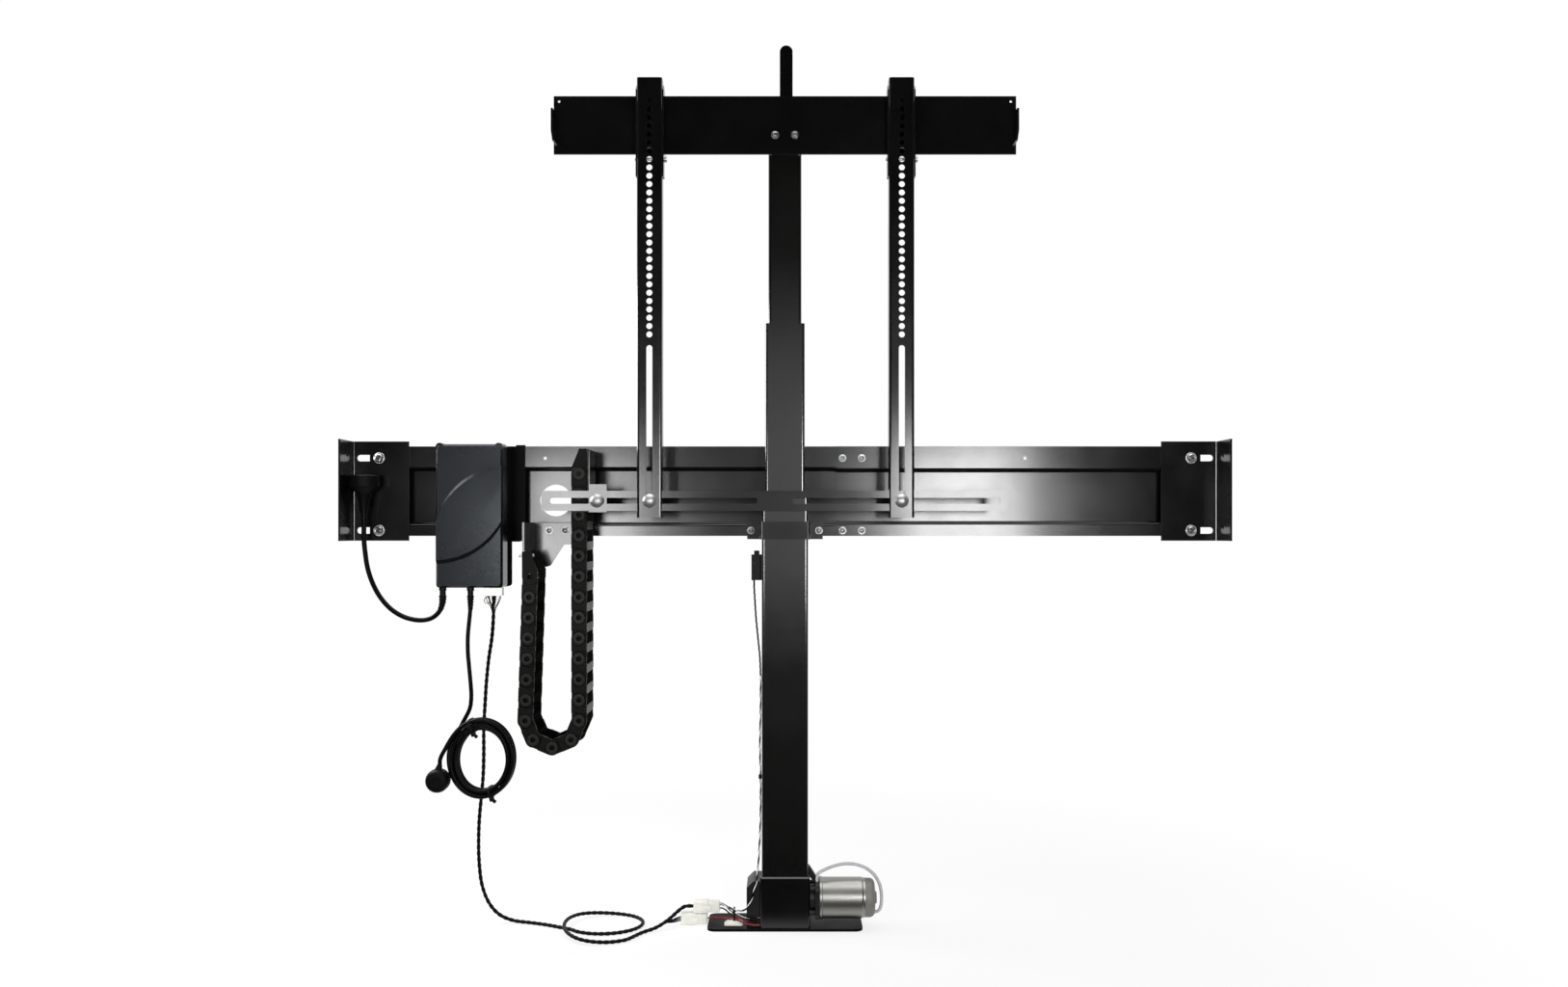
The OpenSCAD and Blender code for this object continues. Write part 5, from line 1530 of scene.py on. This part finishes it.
@dataclass
class Harness(Assembly):
    """The twisted harness from the control box to the plug blocks and the drive; sizes in millimetres."""

    diameter: float = 6.0
    length: float = 1245.0
    lay: float = 19.0
    step: float = 1.9
    smoothing: int = 4
    strands: int = 2
    strand_share: float = 0.37
    press: float = 0.35
    floor_z: float = 3.2
    route: Route = (
        (-441, -28, 505), (-441, -28, 490), (-442, -26, 468), (-446, -18, 440), (-453, -8, 408),
        (-458, -1, 374), (-461, 2, 338), (-463, 2, 300), (-463, 2, 262), (-464, 2, 226), (-467, 2, 192),
        (-470, 2, 158), (-471, 2, 124), (-470, 2, 92), (-466, 2, 60), (-456, 2, 33), (-440, 2, 14),
        (-418, 0, 5), (-392, -5, 3.2), (-366, -15, 3.2), (-343, -27, 3.2),
    )
    tail: Route = (
        (-213, -54, 3.2), (-196, -39, 5), (-184, -28, 9), (-173, -18, 15), (-164, -8, 21), (-155, -1, 26),
        (-147, 0, 27), (-140, 0, 27),
    )
    loop_middle: Pair = (-275.0, -10.0)
    loop_half: Pair = (58.0, 50.0)
    loop_start: float = 215.0
    loop_turns: float = 1.3
    loop_rings: int = 24
    loop_drift: float = 42.0
    drift_turns: Pair = (0.75, 1.12)
    loop_rise: float = 6.7
    hump: float = 0.92
    hump_half: float = 0.34
    block: Triple = (40.0, 18.0, 18.0)
    # The shroud, the inner half and the latch, then ribs along the shroud and across the inner half.
    block_parts: tuple[BlockPart, ...] = (
        BlockPart((0.56, 1, 1), (0, 0, 0), (-0.22, 0, 0), (0, 0, 0), 1.6, 0.8),
        BlockPart((0.46, 1, 1), (0, -2.4, -2.4), (0.27, 0, 0), (0, 0, 0), 1.4, 0.8),
        BlockPart((1 / 3, 0, 1 / 3), (0, 2.4, 0), (0, -0.5, 0), (0, -0.8, 0), 0.8, 0.5),
        *(BlockPart((0.42, 0, 0), (0, 0.9, 1.2), (-0.2, -0.5, z), (0, 0, 0), 0.3, 0.3)
          for z in (-0.28, 0.0, 0.28)),
        *(BlockPart((0, 1, 0), (1.2, -1.6, 0.9), (x, 0, 0.5), (0, 0, -1.1), 0.3, 0.2, "Y")
          for x in (0.12, 0.21, 0.3, 0.39)),
    )
    lower_block: Triple = (-159.0, -9.0, 0.0)
    upper_block: Triple = (-140.0, -9.0, 18.0)
    connector: Pair = (-441.0, -28.0)
    top_wires: int = 9
    top_wire_radius: float = 0.6
    light_wires: tuple[int, ...] = (3, 6)
    # Each stop of a top wire: its shift and spread along X, its shift and spread along Y, and its height.
    fan_stops: tuple[tuple[float, ...], ...] = (
        (0.0, 2.8, 0.0, 2.0, 506.0), (0.0, 2.8, 0.0, 2.0, 502.0), (0.0, 2.1, 0.0, 1.4, 495.0),
        (0.0, 1.0, 0.0, 0.8, 487.0), (-0.2, 0.35, 0.4, 0.0, 479.0), (-0.4, 0.0, 0.8, 0.0, 474.0),
    )
    spare_radius: float = 0.55
    spare_middle: Triple = (-450.0, -31.0, 498.0)
    spare_half: Pair = (4.4, 4.6)
    spare_turn: Pair = (70.0, 330.0)
    spare_drift: float = 0.4
    spare_steps: int = 14
    spare_in: Route = ((-451, -29.5, 507), (-450, -30.4, 504.4))
    spare_out: Route = ((-447, -30.5, 503.8), (-446, -29.5, 506.5))
    block_wires: int = 5
    block_wire_radius: float = 0.8
    block_wire_gaps: Pair = (2.6, 2.2)
    block_wire_low: float = -3.0
    # Each stop of a wire to the lower block: X, then Y and Z, each with its share of the wire's own place.
    block_stops: tuple[tuple[float, ...], ...] = (
        (-186.0, -30.0, 0.0, 8.2, 0.0), (-181.0, -25.0, 0.0, 9.0, 0.0), (-175.0, -18.0, 0.5, 9.0, 0.4),
        (-167.0, -7.0, 0.8, 9.0, 1.0), (-161.0, 0.0, 1.0, 9.0, 1.0), (-158.0, 0.0, 1.0, 9.0, 1.0),
    )
    wire: float = 2.4
    wire_strands: int = 3
    wire_swell: float = 1.05
    wire_lay: float = 50.0
    wire_step: float = 0.8
    wire_smoothing: int = 6
    wires: tuple[Route, ...] = (
        ((-100, 0, 31), (-97, 0, 31), (-92, -2.2, 28.8), (-87, -6, 25.4), (-80, -13, 21.6),
         (-72, -20.5, 20.4), (-64, -28, 19.6), (-55, -32.4, 18.6), (-46, -32.6, 18), (-37.5, -32.6, 18)),
        ((-100, 0, 24), (-97, 0, 24), (-92, -2.2, 22.2), (-87, -6, 19.6), (-80, -13, 17), (-72, -20.5, 16),
         (-64, -28, 15), (-55, -32.4, 14), (-46, -32.6, 13), (-37.5, -32.6, 13)),
        ((-119, 0, 9), (-116, 0, 9), (-110, -1.8, 9.7), (-103, -4.5, 10.8), (-94, -9, 11.6), (-84, -13.5, 12),
         (-74, -20, 12), (-64, -28, 10.6), (-55, -32.4, 9), (-46, -32.6, 8), (-37.5, -32.6, 8)),
    )
    mount: Triple = (28.0, 18.0, 3.0)
    mount_edges: Pair = (2.0, 0.6)
    mount_middle: Triple = (-78.0, -17.0, 5.5)
    saddle: Triple = (22.0, 8.0, 5.0)
    saddle_edges: Pair = (1.2, 0.8)
    saddle_rise: Triple = (0.0, 0.0, 2.0)
    tie_half: Pair = (3.6, 7.6)
    tie_middle: Triple = (-77.0, -16.8, 15.4)
    tie_wide: float = 1.4
    tie_wall: float = 0.9
    tie_steps: int = 28
    tie_head: Triple = (4.6, 4.6, 3.8)
    tie_head_edges: Pair = (1.0, 0.5)
    tie_head_off: Triple = (0.0, -0.6, 9.8)
    tie_stub: Triple = (2.6, 1.2, 7.0)
    tie_stub_edges: Pair = (0.4, 0.2)
    tie_stub_off: Triple = (0.0, 0.4, 2.0)

    def loop_at(self, t: float) -> Vector:
        """Point of the floor loop, which drifts forward and is lifted where it crosses itself.

        Args:
            t: Turns from the loop's start.

        Returns:
            The point.
        """
        a = math.radians(self.loop_start + 360 * t)
        early, late = self.drift_turns
        e = max(0.0, min(1.0, (t - early) / (late - early)))
        forward = self.loop_drift * e * e * (3 - 2 * e)
        lift = self.loop_rise * (1 + math.cos(math.pi * min(1, abs(t - self.hump) / self.hump_half))) / 2
        return Vector((self.loop_middle[0] + self.loop_half[0] * math.cos(a),
                       self.loop_middle[1] - forward + self.loop_half[1] * math.sin(a), self.floor_z + lift))

    def path(self) -> list[Vector]:
        """Centreline from the control box to the upper plug block.

        Returns:
            Its points in metres, in even steps.
        """
        count = int(self.loop_turns * self.loop_rings)
        loop = [self.loop_at(i / self.loop_rings) for i in range(count + 1)]
        points = [*map(Vector, self.route), *loop, *map(Vector, self.tail)]
        return spaced([p * MM for p in smoothed(points, self.smoothing)], self.step * MM)

    def bundle(self, path: Sequence[Vector]) -> bpy.types.Object:
        """Makes the strands, twisted together to the harness' width.

        Args:
            path: The harness' centreline.

        Returns:
            The strands as one piece.
        """
        radius = self.strand_share * self.diameter * MM
        strands = twisted(path, self.strands, radius, self.lay * MM, self.press)
        return merged(strands).piece("harness_bundle", SHEATH, Slot.BLACK_CABLE, CORD_SHARP)

    def fan(self) -> bpy.types.Object:
        """Makes the thin wires that spread into the plug under the control box, and one spare loop.

        Returns:
            The wires as one piece.
        """
        dark, light = Shell(), Shell()
        middle_x, middle_y = self.connector
        for k in range(self.top_wires):
            off, side = k - (self.top_wires - 1) / 2, 1 if k % 2 else -1
            line = [(middle_x + x + off * wide, middle_y + y + side * deep, z)
                    for x, wide, y, deep, z in self.fan_stops]
            strand = light if k in self.light_wires else dark
            strand.tube(smoothed(mm(line)), self.top_wire_radius * MM, STRAND_SIDES)
        (x, y, z), (half_x, half_z), (start, sweep) = self.spare_middle, self.spare_half, self.spare_turn
        ring = []
        for share in (k / self.spare_steps for k in range(self.spare_steps + 1)):
            a = math.radians(start + sweep * share)
            ring.append((x + half_x * math.cos(a), y - self.spare_drift * share, z + half_z * math.sin(a)))
        spare = smoothed(mm([*self.spare_in, *ring, *self.spare_out]), self.smoothing)
        dark.tube(spare, self.spare_radius * MM, STRAND_SIDES)
        piece = merged([dark, light]).piece("harness_top_wires", SHEATH, Slot.BLACK_CABLE, CORD_SHARP)
        repaint(piece, WHITE_WIRE, piece.data.polygons[len(dark.faces):])
        return piece

    def lower_fan(self) -> bpy.types.Object:
        """Makes the thin wires that leave the bundle for the lower plug block.

        Returns:
            The wires as one piece.
        """
        shell = Shell()
        gap_y, gap_z = self.block_wire_gaps
        for k in range(self.block_wires):
            own_y, own_z = (k - (self.block_wires - 1) / 2) * gap_y, self.block_wire_low + gap_z * (k % 3)
            line = [(x, y + own_y * share_y, z + own_z * share_z)
                    for x, y, share_y, z, share_z in self.block_stops]
            shell.tube(smoothed(mm(line)), self.block_wire_radius * MM, STRAND_SIDES)
        return shell.piece("harness_block_wires", SHEATH, Slot.BLACK_CABLE, CORD_SHARP)

    def plug_block(self, name: str, corner: Triple) -> bpy.types.Object:
        """Makes one white plug block.

        Args:
            name: Its name.
            corner: Its lowest corner.

        Returns:
            The block.
        """
        shell = Shell()
        for part in self.block_parts:
            part.add(shell, self.block, Vector(corner) + Vector(self.block) / 2)
        return shell.piece(name, WHITE_NYLON, Slot.WHITE_NYLON)

    def tie_mount(self) -> list[bpy.types.Object]:
        """Makes the white tie mount on the base plate, and the black tie that holds the wires down on it.

        Returns:
            The mount and the tie.
        """
        mount, tie = Shell(), Shell()
        middle = Vector(self.mount_middle)
        mount.block(self.mount, middle, *self.mount_edges)
        mount.block(self.saddle, middle + Vector(self.saddle_rise), *self.saddle_edges)
        (a, b), centre, wide, wall = self.tie_half, Vector(self.tie_middle), self.tie_wide, self.tie_wall
        band = []
        for k in range(self.tie_steps + 1):
            turn = 2 * math.pi * k / self.tie_steps
            band.append([(centre + Vector((x, (a + t) * math.cos(turn), (b + t) * math.sin(turn)))) * MM
                         for x, t in ((-wide, 0), (wide, 0), (wide, wall), (-wide, wall))])
        tie.skin(band, caps=False)
        head = centre + Vector(self.tie_head_off)
        tie.block(self.tie_head, head, *self.tie_head_edges)
        tie.block(self.tie_stub, head + Vector(self.tie_stub_off), *self.tie_stub_edges)
        return [mount.piece("wire_tie_mount", WHITE_NYLON, Slot.WHITE_NYLON),
                tie.piece("wire_tie", TRIM_PLASTIC, Slot.BLACK_PLASTIC)]

    def loose_wires(self) -> list[tuple[bpy.types.Object, list[Vector]]]:
        """Makes the wires from the plug blocks to the drive.

        Returns:
            Each wire and its centreline.
        """
        strand = self.wire_swell * self.wire / 2 / (1 + 1 / math.sin(math.pi / self.wire_strands)) * MM
        colours = ((SHEATH, WHITE_WIRE), (SHEATH, RED_WIRE), (RED_WIRE, RED_WIRE))
        made = []
        for k, (route, (main_finish, other)) in enumerate(zip(self.wires, colours)):
            line = spaced(smoothed(mm(route), self.wire_smoothing), self.wire_step * MM)
            strands = twisted(line, self.wire_strands, strand, self.wire_lay * MM)
            slot = Slot.RED_WIRE if main_finish is RED_WIRE else Slot.BLACK_CABLE
            wire = merged(strands).piece(f"block_wire_{k + 1}", main_finish, slot, CORD_SHARP)
            repaint(wire, other, wire.data.polygons[-len(strands[-1].faces):])
            made.append((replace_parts(wire, "connector_wires"), line))
        return made

    def build(self) -> list[bpy.types.Object]:
        """Makes the bundle, the plug blocks, the wires and the tie mount.

        Returns:
            The pieces, all on the fixed body.
        """
        path = self.path()
        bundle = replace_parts(self.bundle(path), "harness")
        upper = self.plug_block("plug_block_upper", self.upper_block)
        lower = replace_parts(self.plug_block("plug_block_lower", self.lower_block), "harness_connectors")
        fans = [self.fan(), self.lower_fan()]
        mounts, wires = self.tie_mount(), self.loose_wires()
        pieces = [bundle, upper, lower, *fans, *mounts, *(wire for wire, _ in wires)]
        for piece in pieces:
            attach(piece, Body.ROOT.value)
        return pieces


@dataclass
class Drive(Assembly):
    """Base plate, gear housing and motor, the motor's cable and the limit switch; sizes in millimetres."""

    FINISHES = {
        GLOSS_COAT: "housing_cover",
        BASE_COAT: "base_plate",
        CAST_BLACK: "gear_housing motor_flange",
        MOTOR_STEEL: "motor_can",
        CAP_GREY: "motor_end_cap",
        GROUND_STEEL: "worm_shaft",
        BRONZE: "worm_wheel",
        TRIM_PLASTIC: "limit_switch",
    }

    cable: float = 5.0
    cable_length: float = 177.0
    cable_route: Route = (
        (129, -20, 24), (136.5, -20, 24), (141.5, -20, 25.6), (145, -20, 30), (146.8, -20, 40),
        (146.5, -20, 53), (143.5, -20, 67), (136, -20, 80), (124, -20, 90), (108, -20, 96), (91, -20, 97),
        (76, -23, 95), (62, -28, 91), (51, -31.5, 86), (48.5, -32, 80), (48.5, -32, 74),
    )
    wire: float = 3.0
    wire_length: float = 553.0
    wire_lay: float = 26.0
    wire_step: float = 2.2
    wire_strands: int = 3
    strand_radius: float = 0.69444
    clip: Triple = (5.0, 7.0, 6.0)
    clip_corner: float = 1.2
    clip_edge: float = 0.6
    clips_at: tuple[Triple, Triple] = ((-37.5, -22, 380), (-37.5, -22, 230))
    wire_route: Route = (
        (-47, -12, 528), (-47, -12, 518), (-46, -13, 500), (-44, -15, 470), (-41, -18, 440),
        (-38, -21, 410), (-37, -22, 380), (-37, -22, 330), (-38, -22, 280), (-37, -22, 230),
        (-37, -22, 180), (-38, -24, 140), (-39.5, -28.5, 112), (-40.8, -32.4, 92), (-43.5, -33, 72),
        (-47.5, -33, 56), (-52.5, -33, 42), (-58.5, -32.6, 32.5), (-66, -28, 27.5), (-75, -20.5, 26.5),
        (-84, -13, 28), (-92, -7.5, 30), (-97, -5.5, 31), (-100, -5.5, 31),
    )

    def build(self) -> list[bpy.types.Object]:
        """Makes the motor's cable, the switch's twisted wires and their two clips.

        Returns:
            The pieces, all on the fixed body.
        """
        path = smoothed(mm(self.cable_route))
        cable = cord_curve("motor_cord", path, self.cable * MM, GREY_SHEATH)
        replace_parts(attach(cable, Body.ROOT.value), "motor_cable")
        line = spaced(smoothed(mm(self.wire_route)), self.wire_step * MM)
        strands = twisted(line, self.wire_strands, self.strand_radius * MM, self.wire_lay * MM)
        pair = merged(strands).piece("switch_pair", SHEATH, Slot.BLACK_CABLE, CORD_SHARP)
        upper, lower = (place[2] * MM for place in self.clips_at)
        last_strand = pair.data.polygons[-len(strands[-1].faces):]
        repaint(pair, WHITE_WIRE, [face for face in last_strand if face.center.z < upper])
        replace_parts(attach(pair, Body.ROOT.value), "switch_wire")
        shell = Shell()
        for place in self.clips_at:
            shell.block(self.clip, Vector(place), self.clip_corner, self.clip_edge)
        clips = shell.piece("wire_clips", TRIM_PLASTIC, Slot.BLACK_PLASTIC)
        between = (upper + lower) / 2
        repaint(clips, WHITE_WIRE, [face for face in clips.data.polygons if face.center.z > between])
        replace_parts(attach(clips, Body.ROOT.value), "cable_ties")
        return [cable, pair, clips]


class ControlBox(Assembly):
    """The moulded control box on the rail, with its glands and its white plug."""

    FINISHES = {
        BOX_PLASTIC: "control_box_lid",
        BOX_BACK: "control_box_base",
        TRIM_PLASTIC: "cable_glands",
        WHITE_NYLON: "box_connector",
    }


@dataclass
class Studio:
    """Camera, lamps, floor and white surroundings."""

    WHITE: ClassVar[Colour] = (1.0, 1.0, 1.0)
    BLACK: ClassVar[Colour] = (0.0, 0.0, 0.0)

    eye: Triple = (0.0, -1.95, 0.604)
    lens: float = 29.15
    sensor: float = 36.0
    shift: Pair = (-0.0006, 0.0234)
    reach: Pair = (0.05, 50.0)
    lamp_names: tuple[str, str] = ("left_softbox", "right_softbox")
    lamp_sizes: tuple[Pair, Pair] = ((0.38, 0.4), (0.4, 0.48))
    lamp_places: tuple[Triple, Triple] = ((-0.63, -1.97, 0.62), (0.55, -1.97, 0.64))
    lamp_powers: Pair = (9.4, 17.0)
    lamp_target: Triple = (0.0, 0.0, 0.64)
    side_size: Pair = (0.55, 0.45)
    side_place: Triple = (-0.89, 0.12, 0.88)
    side_target: Triple = (-0.45, 0.0, 0.65)
    side_power: float = 11.0
    top_size: Pair = (2.6, 2.6)
    top_place: Triple = (0.0, 0.1, 3.1)
    top_target: Triple = (0.0, 0.1, 0.0)
    top_power: float = 52.0
    ambient: float = 0.16
    glow: float = 0.7
    glow_way: Triple = (0.0, -0.9986, 0.052)
    glow_band: Pair = (0.988, 0.9995)
    ceiling: float = 0.9
    ceiling_band: Pair = (0.6, 0.85)
    front: float = 0.004
    front_band: Pair = (-0.4, 0.2)
    floor_half: float = 8.0
    floor_colour: Colour = (0.95, 0.95, 0.95)
    shade_share: float = 0.2
    shade_band: Pair = (0.45, 1.2)
    mirror_dim: float = 0.97
    mirror_band: Pair = (-0.05, -0.12)

    def camera(self) -> None:
        """Sets up the camera at the photograph's place, looking along +Y."""
        data = bpy.data.cameras.new("photo_camera")
        data.lens, data.sensor_width = self.lens, self.sensor
        data.shift_x, data.shift_y = self.shift
        data.clip_start, data.clip_end = self.reach
        made = placed("photo_camera", data)
        made.location, made.rotation_euler = self.eye, (math.pi / 2, 0.0, 0.0)
        bpy.context.scene.camera = made

    def lamp(self, name: str, place: Triple, target: Triple, size: Pair, power: float) -> None:
        """Adds one soft lamp.

        Args:
            name: Its name.
            place: Where it stands.
            target: What it looks at.
            size: Its width and height.
            power: Its power in watts.
        """
        data = bpy.data.lights.new(name, "AREA")
        data.shape, (data.size, data.size_y), data.energy = "RECTANGLE", size, power
        made = placed(name, data)
        made.location = place
        made.rotation_euler = (Vector(target) - Vector(place)).to_track_quat("-Z", "Y").to_euler()
        made.visible_camera = False

    @staticmethod
    def _rays(w: Wiring) -> tuple[Socket, Socket]:
        """Tells the camera's rays, and those of gloss and glass."""
        ray = w.add("ShaderNodeLightPath").outputs
        return ray["Is Camera Ray"], w.math("MAXIMUM", ray["Is Glossy Ray"], ray["Is Transmission Ray"])

    def surroundings(self) -> None:
        """White for the camera; gloss sees white behind the part, and a ceiling and one glow before it."""
        world = bpy.data.worlds.new("studio")
        w = Wiring.fresh(world)
        camera, glossy = self._rays(w)
        way = w.add("ShaderNodeTexCoord").outputs["Generated"]
        towards = tuple(Vector(self.glow_way).normalized())
        near = w.add("ShaderNodeVectorMath", {0: way, 1: towards}, operation="DOT_PRODUCT").outputs["Value"]
        axes = w.add("ShaderNodeSeparateXYZ", {0: way}).outputs
        above = w.between(axes["Z"], self.ceiling_band, self.front, self.ceiling)
        before = w.math("MAXIMUM", above, w.between(near, self.glow_band, 0.0, self.glow))
        seen = w.between(axes["Y"], self.front_band, before, 1.0)
        shown = w.mix(glossy, (self.ambient,) * 3, seen)
        light = w.add("ShaderNodeBackground", {"Color": w.mix(camera, shown, self.WHITE), "Strength": 1.0})
        w.add("ShaderNodeOutputWorld", {"Surface": light.outputs[0]})
        bpy.context.scene.world = world

    def floor(self) -> None:
        """A pale floor that keeps the part's shadow and runs out into the white."""
        mesh = bpy.data.meshes.new("floor")
        h = self.floor_half
        mesh.from_pydata([(-h, -h, 0), (h, -h, 0), (h, h, 0), (-h, h, 0)], [], [(0, 1, 2, 3)])
        material = bpy.data.materials.new("pale floor")
        w = Wiring.fresh(material)
        camera, glossy = self._rays(w)
        place = w.add("ShaderNodeTexCoord").outputs["Object"]
        far = w.add("ShaderNodeVectorMath", {0: place}, operation="LENGTH").outputs["Value"]
        seen = w.math("MULTIPLY", camera, w.between(far, self.shade_band, 1.0 - self.shade_share, 1.0))
        depth = w.add("ShaderNodeSeparateXYZ", {0: place}).outputs["Y"]
        dim = w.between(depth, self.mirror_band, 0.0, self.mirror_dim)
        white = w.mix(w.math("MULTIPLY", glossy, dim), self.WHITE, self.BLACK)
        glow = w.add("ShaderNodeEmission", {"Color": white, "Strength": 1.0}).outputs[0]
        matt = w.add("ShaderNodeBsdfDiffuse", {"Color": (*self.floor_colour, 1.0)}).outputs[0]
        lit = w.math("MAXIMUM", seen, glossy)
        mixed = w.add("ShaderNodeMixShader", {0: lit, 1: matt, 2: glow}).outputs[0]
        w.add("ShaderNodeOutputMaterial", {"Surface": mixed})
        mesh.materials.append(material)
        placed("floor", mesh)

    def build(self) -> None:
        """Sets up the camera, the lamps, the floor and the surroundings."""
        self.camera()
        lamps = zip(self.lamp_names, self.lamp_places, self.lamp_sizes, self.lamp_powers)
        for name, place, size, power in lamps:
            self.lamp(name, place, self.lamp_target, size, power)
        self.lamp("side_softbox", self.side_place, self.side_target, self.side_size, self.side_power)
        self.lamp("top_softbox", self.top_place, self.top_target, self.top_size, self.top_power)
        self.surroundings()
        self.floor()
        bpy.context.scene.view_settings.view_transform = "Standard"


def main() -> None:
    """Builds the studio and the sub-assemblies in order."""
    logging.basicConfig(level=logging.INFO, format="%(name)s: %(message)s")
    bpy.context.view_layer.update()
    Studio().build()
    for assembly in (MainsLead(), SocketLead(), Harness(), Drive(), CableChain(), ControlBox(), Column(),
                     CabinetRail(), TvFrame(), Fasteners()):
        for piece in assembly.build():
            log.info("%s: %s", type(assembly).__name__, piece.name)
        assembly.dress()


if __name__ == "__main__":
    main()
